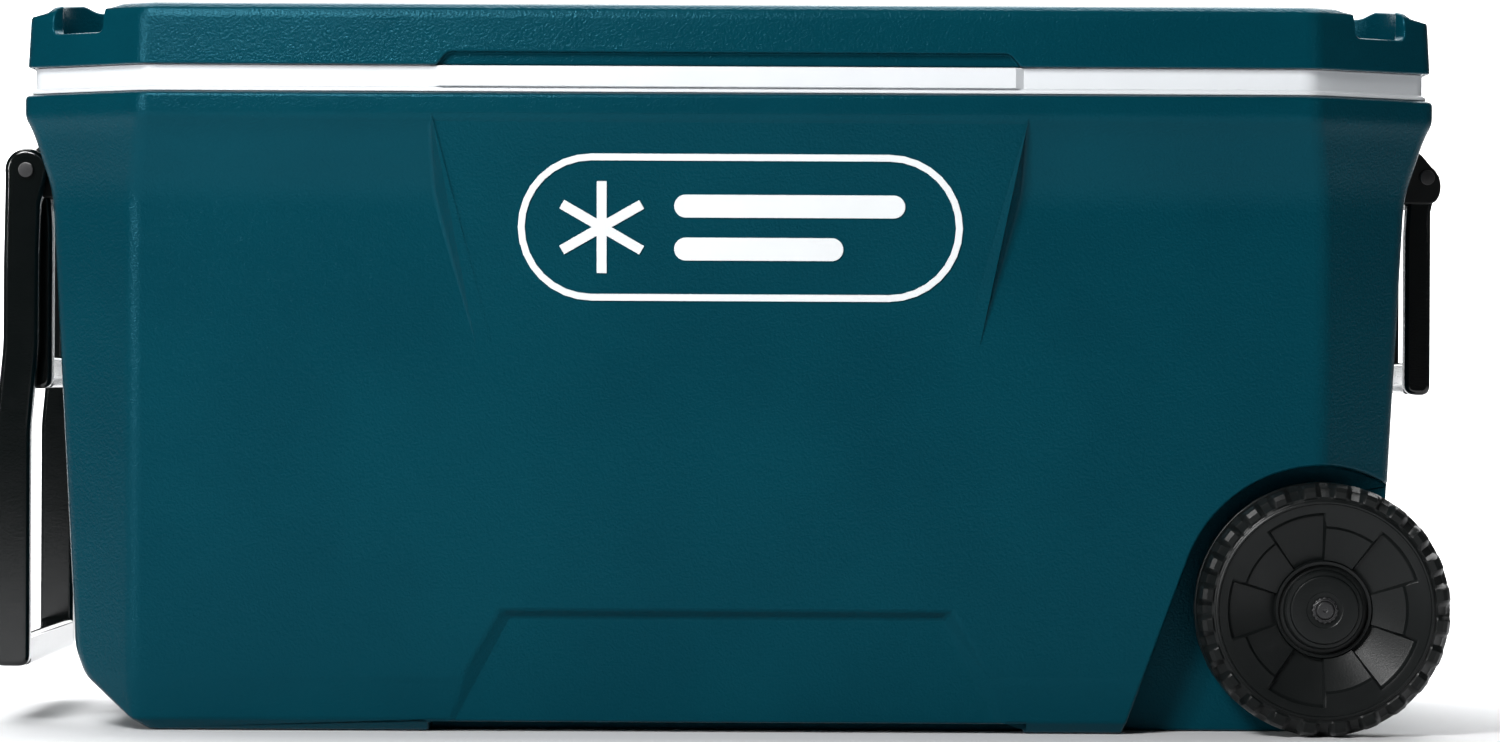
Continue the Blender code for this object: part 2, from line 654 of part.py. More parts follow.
def build_drain():
    """The profiles run outwards from the seat, along -X."""
    seat = (-DRAIN_SEAT, 0, DRAIN_Z)
    out = (-1, 0, 0)
    turned("drain_gasket", [(DRAIN_TUBE + GAP, 0.0018), (0.0175, 0.0018), (0.0175, GAP), (DRAIN_TUBE + GAP, GAP)],
           seat, out, "seal_rubber", True, 16)
    spout = [
        (DRAIN_BORE, 0.0150), (0.0110, 0.0150), (0.0110, 0.0050), (0.0180, 0.0050), (0.0180, 0.0021),
        (DRAIN_TUBE, 0.0021), (DRAIN_TUBE, -0.0260), (DRAIN_BORE, -0.0260),
    ]
    turned("drain_spout", spout, seat, out, "black_matte", True, 16)
    nut = [(DRAIN_TUBE + GAP, -0.0182), (0.0155, -0.0182), (0.0155, -0.0235), (DRAIN_TUBE + GAP, -0.0235)]
    turned("drain_nut", nut, seat, out, "black_matte", True, 16)
    cap = [
        (0, 0.0190), (0.0130, 0.0190), (0.0145, 0.0175), (0.0150, 0.0054),
        (0.0114, 0.0054), (0.0114, 0.0168), (0, 0.0168),
    ]
    turned("drain_cap", cap, seat, out, "black_matte", steps=16)
    seal = [(0, 0.0165), (0.0108, 0.0165), (0.0108, 0.0153), (0, 0.0153)]
    turned("drain_cap_seal", seal, seat, out, "seal_rubber", steps=16)


# ---- hinges ----------------------------------------------------------------------------------


def build_hinge(centre_x, where, shell, lid_shell):
    """Two leaves and a pin. The lid leaf has the middle knuckle and the body leaf the outer two."""
    knuckle = dict(axis=(1, 0, 0), radius=KNUCKLE_RADIUS)
    low_x, high_x = centre_x - HINGE_HALF, centre_x + HINGE_HALF
    split = KNUCKLE_SPLIT
    outer_length = HINGE_HALF - split - GAP
    outer_middle = (HINGE_HALF + split + GAP) / 2

    def leaf_plate(name, leaf):
        (inner_y, outer_y), (low_z, high_z) = leaf[:2]
        return box(name, (low_x, inner_y, low_z), (high_x, outer_y, high_z), "black_matte")

    def web(name, leaf, start_x, end_x):
        return box(name, (start_x, leaf[0][0], leaf[2][0]), (end_x, WEB_Y, leaf[2][1]))

    body = leaf_plate(f"hinge_body_leaf_{where}", BODY_LEAF)
    lid = leaf_plate(f"hinge_lid_leaf_{where}", LID_LEAF)
    for sign in (-1, 1):
        middle = centre_x + sign * outer_middle
        join(
            body,
            web(f"body_web_{where}_{sign}", BODY_LEAF, middle - outer_length / 2, middle + outer_length / 2),
            cylinder(f"body_knuckle_{where}_{sign}", (middle, HINGE_Y, HINGE_Z), length=outer_length, **knuckle),
        )
    inner = split - GAP
    join(
        lid,
        web(f"lid_web_{where}", LID_LEAF, centre_x - inner, centre_x + inner),
        cylinder(f"lid_knuckle_{where}", (centre_x, HINGE_Y, HINGE_Z), length=2 * inner, **knuckle),
    )
    bore = cylinder(f"pin_bore_{where}", (centre_x, HINGE_Y, HINGE_Z), (1, 0, 0), PIN_RADIUS + GAP, 0.08, sides=16)
    cut(body, bore)
    cut(lid, bore)
    half = HINGE_HALF + PIN_OVER
    turned(f"hinge_pin_{where}", [(0, half), (PIN_RADIUS, half), (PIN_RADIUS, -half), (0, -half)],
           (centre_x, HINGE_Y, HINGE_Z), (1, 0, 0), "steel", steps=16)

    riding = [lid]
    for label, leaf, part, sizes in (("body", body, shell, BODY_LEAF), ("lid", lid, lid_shell, LID_LEAF)):
        face, height, length = sizes[0][1], sizes[3], sizes[4]
        for number, sign in ((1, -1), (2, 1)):
            x = centre_x + sign * HINGE_SCREW_X
            hole = cylinder(
                f"{label}_hole_{where}_{number}", (x, 0.222, height), (0, 1, 0), HINGE_SHANK_HOLE, 0.012, sides=12
            )
            cut(leaf, hole)
            cut(part, hole)
            screw = turned(f"hinge_{label}_screw_{where}_{number}", screw_profile(0.0017, 0.0035, 0.0020, length),
                           (x, face + GAP, height), (0, 1, 0), "steel", steps=12)
            if leaf is lid:
                riding.append(screw)
    return riding


# ---- front graphic ---------------------------------------------------------------------------


def rounded_outline(half_x, half_y, radius, steps=8):
    points = []
    for turn, (sign_x, sign_y) in enumerate(((1, 1), (-1, 1), (-1, -1), (1, -1))):
        for step in range(steps + 1):
            angle = math.pi / 2 * (turn + step / steps)
            points.append((sign_x * (half_x - radius) + radius * math.cos(angle),
                           sign_y * (half_y - radius) + radius * math.sin(angle)))
    return points


def star_outline(radius, waist, arms=6):
    """A six-armed star of narrow arms, drawn as one outline."""
    points = []
    half = waist / 2
    for arm in range(arms):
        angle = 2 * math.pi * arm / arms + math.pi / 2
        along, across = Vector((math.cos(angle), math.sin(angle))), Vector((-math.sin(angle), math.cos(angle)))
        root = half / math.tan(math.pi / arms)
        for reach, side in ((root, -1), (radius, -1), (radius, 1)):
            points.append(tuple(along * reach + across * side * half))
    return points


def build_badge():
    slope = (PANEL_TOP_Y - PANEL_FOOT_Y) / (PANEL_TOP - PANEL_FOOT)
    y = -(PANEL_FOOT_Y + slope * (BADGE_Z - PANEL_FOOT))
    lean = math.atan(slope)
    out = GAP + BADGE_THICKNESS / 2
    centre = Vector((BADGE_X, y - out * math.cos(lean), BADGE_Z - out * math.sin(lean)))
    placing = Matrix.Translation(centre) @ Matrix.Rotation(math.pi / 2 + lean, 4, "X")
    half_x, half_y = BADGE_HALF
    border = [
        rounded_outline(half_x, half_y, half_y),
        rounded_outline(half_x - BADGE_LINE, half_y - BADGE_LINE, half_y - BADGE_LINE),
    ]
    plate("badge_frame", border, BADGE_THICKNESS, placing, "white_print")
    star = [(x - 0.090, y) for x, y in star_outline(0.030, 0.0065)]
    plate("badge_snowflake", star, BADGE_THICKNESS, placing, "white_print")
    bar = rounded_outline(0.075, 0.0075, 0.0074)
    plate("badge_bar_upper", [(x + 0.032, y + 0.014) for x, y in bar], BADGE_THICKNESS, placing, "white_print")
    short = rounded_outline(0.055, 0.0075, 0.0074)
    plate("badge_bar_lower", [(x + 0.012, y - 0.014) for x, y in short], BADGE_THICKNESS, placing, "white_print")


# ---- joints ----------------------------------------------------------------------------------


def empty(name, location):
    pivot = bpy.data.objects.new(name, None)
    pivot.location = location
    COOLER.objects.link(pivot)
    return pivot


def ride(pivot, *pieces):
    """Parents pieces to a pivot without moving them."""
    for piece in pieces:
        piece.parent = pivot
        piece.matrix_parent_inverse = Matrix.Translation(pivot.location).inverted()


clear_scene()
COOLER = new_group("wheeled_cooler")
CUTTERS = new_group("cutters")
tub_shell = build_tub()
lid_pieces = build_lid()
for hinge_side, hinge_where in ((-1, "left"), (1, "right")):
    lid_pieces += build_hinge(hinge_side * HINGE_X, hinge_where, tub_shell, lid_pieces[0])
ride(empty("lid_pivot", (0, HINGE_Y, HINGE_Z)), *lid_pieces)
build_end(-1, "left", tub_shell)
build_end(1, "right", tub_shell)
build_wheels()
build_drain()
build_badge()
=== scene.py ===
"""A hard-sided cooler on two wheels, built up in detail over its CAD model.

X runs along the cooler towards the wheels, Y runs to the back and Z is up. The origin is the
middle of the flat underside. Lengths are in metres.
"""

import math

import bmesh
import bpy
from mathutils import Matrix, Vector


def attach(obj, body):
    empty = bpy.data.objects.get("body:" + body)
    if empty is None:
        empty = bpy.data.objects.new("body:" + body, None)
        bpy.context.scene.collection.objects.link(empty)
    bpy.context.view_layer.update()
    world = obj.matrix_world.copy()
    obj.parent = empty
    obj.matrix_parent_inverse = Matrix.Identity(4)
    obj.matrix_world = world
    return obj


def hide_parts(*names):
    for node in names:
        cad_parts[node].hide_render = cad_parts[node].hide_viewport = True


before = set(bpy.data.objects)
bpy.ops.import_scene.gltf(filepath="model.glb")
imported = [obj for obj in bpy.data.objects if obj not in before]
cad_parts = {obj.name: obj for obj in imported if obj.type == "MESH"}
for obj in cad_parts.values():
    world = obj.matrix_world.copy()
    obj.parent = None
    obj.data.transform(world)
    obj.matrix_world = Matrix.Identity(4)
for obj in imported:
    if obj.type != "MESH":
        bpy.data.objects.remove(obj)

bl_info = {
    "name": "Cooler on wheels",
    "version": (1, 0, 0),
    "blender": (4, 5, 0),
    "location": "3D View > Sidebar > Cooler",
    "description": "Builds the detailed pieces of a cooler on wheels and a plain studio for it",
    "category": "Object",
}

SKIN = 0.003
GAP = 0.0003
CORNER_RATIO = 0.76
SMALLEST_CORNER = 0.004
ENDS = ((-1, "left"), (1, "right"))
SIDES = ((-1, "front"), (1, "rear"))

# Tub: height, half length, half width, half length at the corner crease and softness of each level
TUB_LEVELS = (
    (0.0000, 0.3780, 0.1860, 0.374, 0.0),
    (0.0075, 0.3900, 0.1925, 0.386, 0.003),
    (0.0340, 0.4220, 0.1950, 0.388, 0.006),
    (0.0510, 0.4290, 0.1955, 0.388, 0.006),
    (0.3520, 0.4460, 0.2040, 0.388, 0.012),
    (0.3900, 0.4588, 0.2165, 0.383, 0.008),
    (0.4010, 0.4645, 0.2225, 0.381, 0.004),
    (0.4140, 0.4645, 0.2225, 0.381, 0.002),
    (0.4160, 0.4625, 0.2205, 0.380, 0.0),
)
RIM_TOP = 0.416
CREASE_SOFTNESS = 0.007

# Raised middle panel of the long walls: half width, distance from the middle and height
PANEL_POINTS = (
    (0.1950, 0.2212, 0.4050),
    (0.1500, 0.2005, 0.2400),
    (0.2010, 0.2040, 0.4050),
    (0.1915, 0.2023, 0.3470),
    (0.1660, 0.1998, 0.2576),
    (0.1560, 0.1985, 0.2440),
)

# Shallow recess at the foot of the long walls
TOE_WALL_Y = 0.1965
TOE_FACE_Y = 0.1905
# Half width and height of its corners, in the wall and on its face
TOE_CORNERS = (((0.1480, 0.0800), (0.1410, 0.0745)), ((0.2000, -0.0100), (0.1860, -0.0100)))
TOE_HALF_LOW = 0.194
TOE_LIFT = 0.006
TOE_LIFT_Y = 0.165

# Wheels and the wells they stand in
AXLE_X = 0.3885
AXLE_Z = 0.0825
WHEEL_RADIUS = 0.0825
WHEEL_MIDDLE_Y = 0.1925
WELL_RADIUS = 0.093
WELL_INNER_Y = 0.155
WELL_LEAN = math.radians(69.8)

# Liner
LINER_LEVELS = ((0.030, 0.4020, 0.1630, 0.372, 0.0), (0.450, 0.4286, 0.1865, 0.396, 0.0))
STEP_X = 0.250
STEP_SIDE_Y = 0.130
STEP_SIDE_TOP = 0.195
STEP_MIDDLE_TOP = 0.110
FLANGE_LEVELS = (
    (0.4163, 0.4605, 0.2185, 0.3795, 0.0),
    (0.4185, 0.4600, 0.2180, 0.3790, 0.0006),
    (0.4197, 0.4580, 0.2160, 0.3780, 0.0006),
    (0.4332, 0.4580, 0.2160, 0.3780, 0.0),
)
FLANGE_TOP = 0.4332
BULGE_HALF = 0.192
BULGE_Y = 0.2200

# Lid
LID_BOTTOM = 0.4335
LID_TOP = 0.478
LID_LEVELS = (
    (0.4335, 0.4628, 0.2208, 0.3810, 0.0),
    (0.4655, 0.4612, 0.2192, 0.3800, 0.002),
    (0.4700, 0.4600, 0.2178, 0.3795, 0.0015),
    (0.4728, 0.4570, 0.2150, 0.3785, 0.0012),
    (0.4740, 0.4530, 0.2110, 0.3770, 0.002),
    (0.4780, 0.4430, 0.1500, 0.3670, 0.0),
)
END_PROFILE = (
    (0.3860, 0.4790), (0.3905, 0.4742), (0.4020, 0.4713), (0.4085, 0.4704),
    (0.4135, 0.4724), (0.4222, 0.4728), (0.4290, 0.4768), (0.4360, 0.4778),
    (0.4420, 0.4762), (0.4470, 0.4700), (0.4600, 0.4672), (0.4800, 0.4635),
)
CUP_X = 0.4003
CUP_Y = 0.1503
CUP_RADIUS = 0.040
CUP_FLOOR = 0.4540
NOTCH_HALF = 0.0222
NOTCH_FLOOR = 0.4550
FINGER_HALF = 0.190
FINGER_TOP = 0.4422
FINGER_FACE_Y = 0.2148
LID_SHEET = (0.4336, 0.4366)
PLUG_HALF = (0.4185, 0.1765)
PLUG_LOW = 0.4226

# Handles and their brackets, by distance outwards from the middle of the cooler
PIVOT_OUT = 0.468
PIVOT_Z = 0.3677
ROD_BORE = 0.0034
LIFT_LEG_Y = (0.0755, 0.0945)
TOW_LEG_Y = (0.1065, 0.1235)
BRACKET_HALF_Y = 0.100
SLOT_Y = (0.0740, 0.0960)
BRACKET_SCREW_Y = 0.045
BRACKET_SCREW_Z = (0.3575, 0.3775)
BRACKET_SEAT = 0.4640

# Drain at the handle end
DRAIN_Z = 0.050
DRAIN_SEAT = 0.4165
DRAIN_POCKET = 0.025
DRAIN_TUBE = 0.0105

# Hinges at the back
HINGE_X = 0.250
HINGE_Y = 0.2295
HINGE_Z = 0.4335
HINGE_HALF = 0.025
HINGE_SCREW_X = 0.017

# Front graphic
BADGE_X = 0.008
BADGE_Z = 0.329
BADGE_HALF = (0.1445, 0.048)
BADGE_LINE = 0.0045
BADGE_THICKNESS = 0.0008


# ---- meshes ----------------------------------------------------------------------------------


def bend_through(points, reaches, closed, steps=4):
    """The chain of points with each corner replaced by a short curve that starts and ends at its reach."""
    count = len(points)
    points = [Vector(point) for point in points]
    curve = []
    for index, (corner, reach) in enumerate(zip(points, reaches)):
        if not closed and index in (0, count - 1):
            curve.append(corner)
            continue
        ends = []
        for near in (points[index - 1], points[(index + 1) % count]):
            gap = (near - corner).length
            ends.append(corner.lerp(near, min(reach, 0.45 * gap) / gap))
        for step in range(steps + 1):
            share = step / steps
            curve.append(ends[0].lerp(corner, share).lerp(corner.lerp(ends[1], share), share))
    return curve


def soften(points, reach, closed=True, steps=4):
    return [tuple(point) for point in bend_through(points, [reach] * len(points), closed, steps)]


def corner_outline(half_x, half_y, crease_x, inset, softness):
    """A rectangle with its corners cut off, moved inwards by the inset, its creases softened."""
    cut_x = max(half_x - crease_x, SMALLEST_CORNER)
    cut_y = cut_x * CORNER_RATIO
    reach = cut_y * half_x + cut_x * (half_y - cut_y) - inset * math.hypot(cut_x, cut_y)
    end_x, side_y = half_x - inset, half_y - inset
    quarter = [(end_x, (reach - cut_y * end_x) / cut_x), ((reach - cut_x * side_y) / cut_y, side_y)]
    upper = quarter + [(-x, y) for x, y in reversed(quarter)]
    outline = upper + [(-x, -y) for x, y in upper]
    return soften(outline, softness) if softness else outline


def slide(end, neighbour, height):
    """An end level moved to a new height along the line to its neighbour."""
    share = (height - neighbour[0]) / (end[0] - neighbour[0])
    return [near + share * (far - near) for near, far in zip(neighbour, end)]


def new_object(name, bm):
    bmesh.ops.recalc_face_normals(bm, faces=bm.faces)
    mesh = bpy.data.meshes.new(name)
    bm.to_mesh(mesh)
    bm.free()
    obj = bpy.data.objects.new(name, mesh)
    bpy.context.scene.collection.objects.link(obj)
    return obj


def loft(levels, inset=0.0, low=None, high=None, softness=0.0):
    """A closed form through the outlines of its levels, with its ends slid to low and high."""
    levels = [list(level) for level in levels]
    if low is not None:
        levels[0] = slide(levels[0], levels[1], low)
    if high is not None:
        levels[-1] = slide(levels[-1], levels[-2], high)
    sizes = [level[:4] for level in levels]
    if softness:
        sizes = bend_through(sizes, [level[4] for level in levels], closed=False)
    bm = bmesh.new()
    rings = []
    for height, half_x, half_y, crease_x in sizes:
        outline = corner_outline(half_x, half_y, crease_x, inset, softness)
        rings.append([bm.verts.new((x, y, height)) for x, y in outline])
    for lower, upper in zip(rings, rings[1:]):
        for index in range(len(lower)):
            after = (index + 1) % len(lower)
            bm.faces.new((lower[index], lower[after], upper[after], upper[index]))
    bm.faces.new(rings[0])
    bm.faces.new(rings[-1])
    return new_object("form", bm)


def box(low, high, turn=Matrix.Identity(4)):
    low, high = Vector(low), Vector(high)
    bm = bmesh.new()
    size = Matrix.Diagonal((*(high - low), 1))
    bmesh.ops.create_cube(bm, size=1, matrix=turn @ Matrix.Translation((low + high) / 2) @ size)
    return new_object("box", bm)


def facing(axis):
    return Vector((0, 0, 1)).rotation_difference(Vector(axis)).to_matrix().to_4x4()


def cylinder(centre, axis, radius, length, sides=48):
    bm = bmesh.new()
    bmesh.ops.create_cone(
        bm, cap_ends=True, segments=sides, radius1=radius, radius2=radius, depth=length,
        matrix=Matrix.Translation(centre) @ facing(axis),
    )
    return new_object("cylinder", bm)


def hull(points):
    bm = bmesh.new()
    made = bmesh.ops.convex_hull(bm, input=[bm.verts.new(point) for point in points])
    spare = [item for item in made["geom_interior"] if isinstance(item, bmesh.types.BMVert)]
    bmesh.ops.delete(bm, geom=spare, context="VERTS")
    bmesh.ops.dissolve_limit(bm, angle_limit=0.002, verts=bm.verts, edges=bm.edges)
    return new_object("hull", bm)


def prism(outline, depth, placing):
    """A flat outline given a depth, centred on its own XY plane and then placed."""
    bm = bmesh.new()
    low = [bm.verts.new((x, y, -depth / 2)) for x, y in outline]
    high = [bm.verts.new((x, y, depth / 2)) for x, y in outline]
    for index in range(len(outline)):
        after = (index + 1) % len(outline)
        bm.faces.new((low[index], low[after], high[after], high[index]))
    bm.faces.new(low)
    bm.faces.new(high)
    bmesh.ops.transform(bm, matrix=placing, verts=bm.verts)
    return new_object("prism", bm)


def side_prism(outline, low_y, high_y):
    """An outline in X and Z, extruded along Y."""
    placing = Matrix.Translation((0, (low_y + high_y) / 2, 0)) @ Matrix.Rotation(math.pi / 2, 4, "X")
    return prism(outline, high_y - low_y, placing)


def apply_modifiers(obj):
    graph = bpy.context.evaluated_depsgraph_get()
    mesh = bpy.data.meshes.new_from_object(obj.evaluated_get(graph))
    spent = obj.data
    obj.modifiers.clear()
    obj.data = mesh
    bpy.data.meshes.remove(spent)
    return obj


def combine(target, others, operation):
    """Cuts or joins the others, one after another, and uses them up."""
    for other in others:
        change = target.modifiers.new(operation, "BOOLEAN")
        change.operation = operation
        change.object = other
        change.solver = "EXACT"
    apply_modifiers(target)
    for other in others:
        spent = other.data
        bpy.data.objects.remove(other)
        bpy.data.meshes.remove(spent)
    return target


def cut(target, *others):
    return combine(target, others, "DIFFERENCE")


def join(target, *others):
    return combine(target, others, "UNION")


def round_edges(obj, width, sharpest=35, segments=3):
    """Rounds every edge that turns by more than the given angle, and never makes the form larger."""
    places = [vertex.co.copy() for vertex in obj.data.vertices]
    limits = [(min(along), max(along)) for along in zip(*places)]
    bevel = obj.modifiers.new("round", "BEVEL")
    bevel.width = width * bpy.context.scene.cooler.edge_softness
    bevel.segments = segments
    bevel.limit_method = "ANGLE"
    bevel.angle_limit = math.radians(sharpest)
    bevel.use_clamp_overlap = False
    apply_modifiers(obj)
    for vertex in obj.data.vertices:
        vertex.co = [min(max(value, least), most) for value, (least, most) in zip(vertex.co, limits)]
    return obj


def merge(pieces):
    """Puts separate meshes into the first object."""
    bm = bmesh.new()
    for piece in pieces:
        bm.from_mesh(piece.data)
    for piece in pieces[1:]:
        bpy.data.objects.remove(piece)
    bm.to_mesh(pieces[0].data)
    bm.free()
    return pieces[0]


def lathe(profile, centre, axis, ring=False, softness=0.0003, columns=48, shape=None):
    """A profile of radius and height turned round an axis. shape changes a point by its angle."""
    chain = soften(profile, softness, closed=ring, steps=2)
    bm = bmesh.new()
    rows = []
    for radius, height in chain:
        if radius < 1e-6:
            rows.append([bm.verts.new((0, 0, height))] * columns)
            continue
        row = []
        for column in range(columns):
            angle = 2 * math.pi * column / columns
            r, h = shape(radius, height, angle) if shape else (radius, height)
            row.append(bm.verts.new((r * math.cos(angle), r * math.sin(angle), h)))
        rows.append(row)
    if ring:
        rows.append(rows[0])
    for near, far in zip(rows, rows[1:]):
        for column in range(columns):
            after = (column + 1) % columns
            corners = dict.fromkeys((near[column], near[after], far[after], far[column]))
            if len(corners) > 2:
                bm.faces.new(tuple(corners))
    bmesh.ops.transform(bm, matrix=Matrix.Translation(centre) @ facing(axis), verts=bm.verts)
    return new_object("turned", bm)


def finish_piece(obj, name, body, look, *nodes, smooth=35):
    """Names a piece, shades it, gives it its look and lets it stand for its CAD nodes."""
    obj.name = obj.data.name = name
    obj.data.shade_smooth()
    obj.data.set_sharp_from_angle(angle=math.radians(smooth))
    obj.data.materials.clear()
    obj.data.materials.append(LOOKS[look])
    even = obj.modifiers.new("even_shading", "WEIGHTED_NORMAL")
    even.weight = 100
    even.keep_sharp = True
    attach(obj, body)
    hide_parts(*nodes)
    return obj


# ---- looks -----------------------------------------------------------------------------------

LOOKS = {}


def make_look(
    name, colours, roughness, grain, depth, metallic=0.0, gloss=0.5, mottle=14.0, tint=(1.0, 1.0, 1.0)
):
    """A surface with a fine grain, and slow changes of colour and roughness."""
    look = bpy.data.materials.new(name + "_detailed")
    look.use_nodes = True
    tree = look.node_tree
    shader = tree.nodes["Principled BSDF"]
    shader.inputs["Metallic"].default_value = metallic
    shader.inputs["Specular IOR Level"].default_value = gloss
    shader.inputs["Specular Tint"].default_value = (*tint, 1)
    place = tree.nodes.new("ShaderNodeTexCoord")

    def noise(scale, detail):
        node = tree.nodes.new("ShaderNodeTexNoise")
        node.inputs["Scale"].default_value = scale
        node.inputs["Detail"].default_value = detail
        tree.links.new(place.outputs["Object"], node.inputs["Vector"])
        return node.outputs["Fac"]

    ramp = tree.nodes.new("ShaderNodeValToRGB")
    for element, colour, position in zip(ramp.color_ramp.elements, colours, (0.35, 0.65)):
        element.color = (*colour, 1)
        element.position = position
    tree.links.new(noise(mottle, 4.0), ramp.inputs["Fac"])
    tree.links.new(ramp.outputs["Color"], shader.inputs["Base Color"])

    spread = tree.nodes.new("ShaderNodeMapRange")
    spread.inputs["To Min"].default_value = roughness[0]
    spread.inputs["To Max"].default_value = roughness[1]
    tree.links.new(noise(mottle * 6, 5.0), spread.inputs["Value"])
    tree.links.new(spread.outputs["Result"], shader.inputs["Roughness"])

    bump = tree.nodes.new("ShaderNodeBump")
    bump.inputs["Strength"].default_value = bpy.context.scene.cooler.grain
    bump.inputs["Distance"].default_value = depth
    tree.links.new(noise(grain, 3.0), bump.inputs["Height"])
    tree.links.new(bump.outputs["Normal"], shader.inputs["Normal"])
    return look


class COOLER_OT_looks(bpy.types.Operator):
    """Makes the plastics, the metal, the foam and the rubber"""

    bl_idname = "cooler.looks"
    bl_label = "Make looks"

    def execute(self, context):
        LOOKS.update(
            teal_shell=make_look(
                "teal_shell", ((0.0002, 0.028, 0.042), (0.0003, 0.032, 0.047)), (0.20, 0.27), 620, 0.0006,
                gloss=0.22, mottle=9, tint=(0.2, 0.75, 1.0),
            ),
            white_liner=make_look(
                "white_liner", ((0.57, 0.59, 0.61), (0.60, 0.62, 0.64)), (0.30, 0.40), 900, 0.00005
            ),
            foam=make_look("foam", ((0.78, 0.70, 0.48), (0.84, 0.77, 0.56)), (0.8, 0.95), 500, 0.0004),
            black_gloss=make_look(
                "black_gloss", ((0.001, 0.002, 0.002), (0.002, 0.003, 0.003)), (0.08, 0.15), 700, 0.00003
            ),
            black_matte=make_look(
                "black_matte", ((0.003, 0.004, 0.004), (0.006, 0.007, 0.007)), (0.28, 0.40), 900, 0.00012,
                gloss=0.2,
            ),
            steel=make_look(
                "steel", ((0.50, 0.50, 0.51), (0.60, 0.60, 0.61)), (0.22, 0.38), 1200, 0.00003, metallic=1.0
            ),
            dark_steel=make_look(
                "dark_steel", ((0.010, 0.010, 0.011), (0.016, 0.016, 0.017)), (0.28, 0.4), 900, 0.00005
            ),
            white_print=make_look(
                "white_print", ((0.60, 0.62, 0.63), (0.63, 0.65, 0.66)), (0.32, 0.42), 900, 0.00003
            ),
            seal_rubber=make_look(
                "seal_rubber", ((0.02, 0.02, 0.02), (0.03, 0.03, 0.03)), (0.7, 0.85), 800, 0.0001
            ),
        )
        for name in ("body_foam", "lid_foam"):
            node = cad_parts[name]
            node.data.materials.clear()
            node.data.materials.append(LOOKS["foam"])
        return {"FINISHED"}


# ---- tub -------------------------------------------------------------------------------------


def mirrored(side, outline):
    return [(side * x, z) for x, z in outline]


def middle_panel(side, inset):
    """The wedge that stands proud of a long wall, widest and proudest at the rim."""
    return hull([(sign * (x - inset), side * (y - inset), z) for x, y, z in PANEL_POINTS for sign in (-1, 1)])


def toe_recess(side, inset):
    """Cutters for the recess at a long wall's foot and the raised edge under it."""
    points = []
    for (wall_x, wall_z), (face_x, face_z) in TOE_CORNERS:
        for reach in (0.0, 1.7):
            x = face_x + (wall_x - face_x) * reach + inset
            y = TOE_FACE_Y + (TOE_WALL_Y - TOE_FACE_Y) * reach - inset
            z = face_z + (wall_z - face_z) * reach + (inset if face_z > 0 else 0)
            points += [(x, side * y, z), (-x, side * y, z)]
    half = TOE_HALF_LOW + inset
    edge = sorted((side * (TOE_LIFT_Y - inset), side * 0.25))
    return [hull(points), box((-half, edge[0], -0.02), (half, edge[1], TOE_LIFT + inset))]


def wheel_well(side, inset, steps):
    """An arch over the wheel with a leaning leg towards the middle, open below and at the end."""
    radius = WELL_RADIUS + inset
    start = math.pi / 2 + WELL_LEAN
    foot_x, foot_z = AXLE_X + radius * math.cos(start), AXLE_Z + radius * math.sin(start)
    low = -0.02
    outline = [(foot_x - (foot_z - low) / math.tan(WELL_LEAN), low)]
    for step in range(steps + 1):
        angle = start * (1 - step / steps)
        outline.append((AXLE_X + radius * math.cos(angle), AXLE_Z + radius * math.sin(angle)))
    outline.append((AXLE_X + radius, low))
    return side_prism(outline, *sorted((side * (WELL_INNER_Y - inset), side * 0.25)))


def tub_form(inset, high=None, softness=0.0):
    form = loft(TUB_LEVELS, inset, low=inset, high=high, softness=softness)
    join(form, *[middle_panel(side, inset) for side, _ in SIDES])
    for side, _ in SIDES:
        cut(form, *toe_recess(side, inset), wheel_well(side, inset, 48 if softness else 24))
    pocket_x = -(DRAIN_SEAT - inset) - 0.03
    return cut(form, cylinder((pocket_x, 0, DRAIN_Z), (1, 0, 0), DRAIN_POCKET + inset, 0.06))


def liner_form(inset, top):
    """The liner's outer form moved inwards by the inset, with its leaning walls cut off at the top."""
    form = loft(LINER_LEVELS, inset, low=LINER_LEVELS[0][0] + inset, high=top)
    inner, side_y, side_top = STEP_X - inset, STEP_SIDE_Y - inset, STEP_SIDE_TOP + inset
    return cut(
        form,
        box((inner, -0.6, -0.1), (0.6, -side_y, side_top)),
        box((inner, side_y, -0.1), (0.6, 0.6, side_top)),
        box((inner, -0.3, -0.12), (0.61, 0.3, STEP_MIDDLE_TOP + inset)),
    )


def drain_hole():
    return cylinder((-0.40, 0, DRAIN_Z), (1, 0, 0), DRAIN_TUBE + GAP, 0.07)


class COOLER_OT_tub(bpy.types.Operator):
    """Builds the outer tub and the white inner tub"""

    bl_idname = "cooler.tub"
    bl_label = "Build tub"

    def execute(self, context):
        shell = tub_form(0.0, softness=CREASE_SOFTNESS)
        round_edges(shell, 0.0022, sharpest=25)
        cut(shell, tub_form(SKIN, high=RIM_TOP + 0.02), drain_hole())
        for side, _ in SIDES:
            cut(shell, cylinder((AXLE_X, side * 0.1535, AXLE_Z), (0, 1, 0), 0.0088, 0.02))
        finish_piece(shell, "tub_skin", "root", "teal_shell", "body_shell", smooth=30)

        liner = liner_form(0.0, FLANGE_TOP)
        bulge = hull([
            (sign * (BULGE_HALF - taper), -y, z)
            for sign in (-1, 1)
            for taper, y in ((0.0, 0.2155), (0.006, BULGE_Y), (0.0, 0.200))
            for z in (0.4197, FLANGE_TOP)
        ])
        join(liner, loft(FLANGE_LEVELS, softness=CREASE_SOFTNESS), bulge)
        inside = round_edges(liner_form(SKIN, FLANGE_TOP + 0.02), 0.009, sharpest=30, segments=5)
        cut(liner, inside)
        round_edges(liner, 0.0008, sharpest=50)
        cut(liner, drain_hole())
        finish_piece(liner, "inner_tub", "root", "white_liner", "body_liner", smooth=30)
        return {"FINISHED"}


# ---- lid -------------------------------------------------------------------------------------


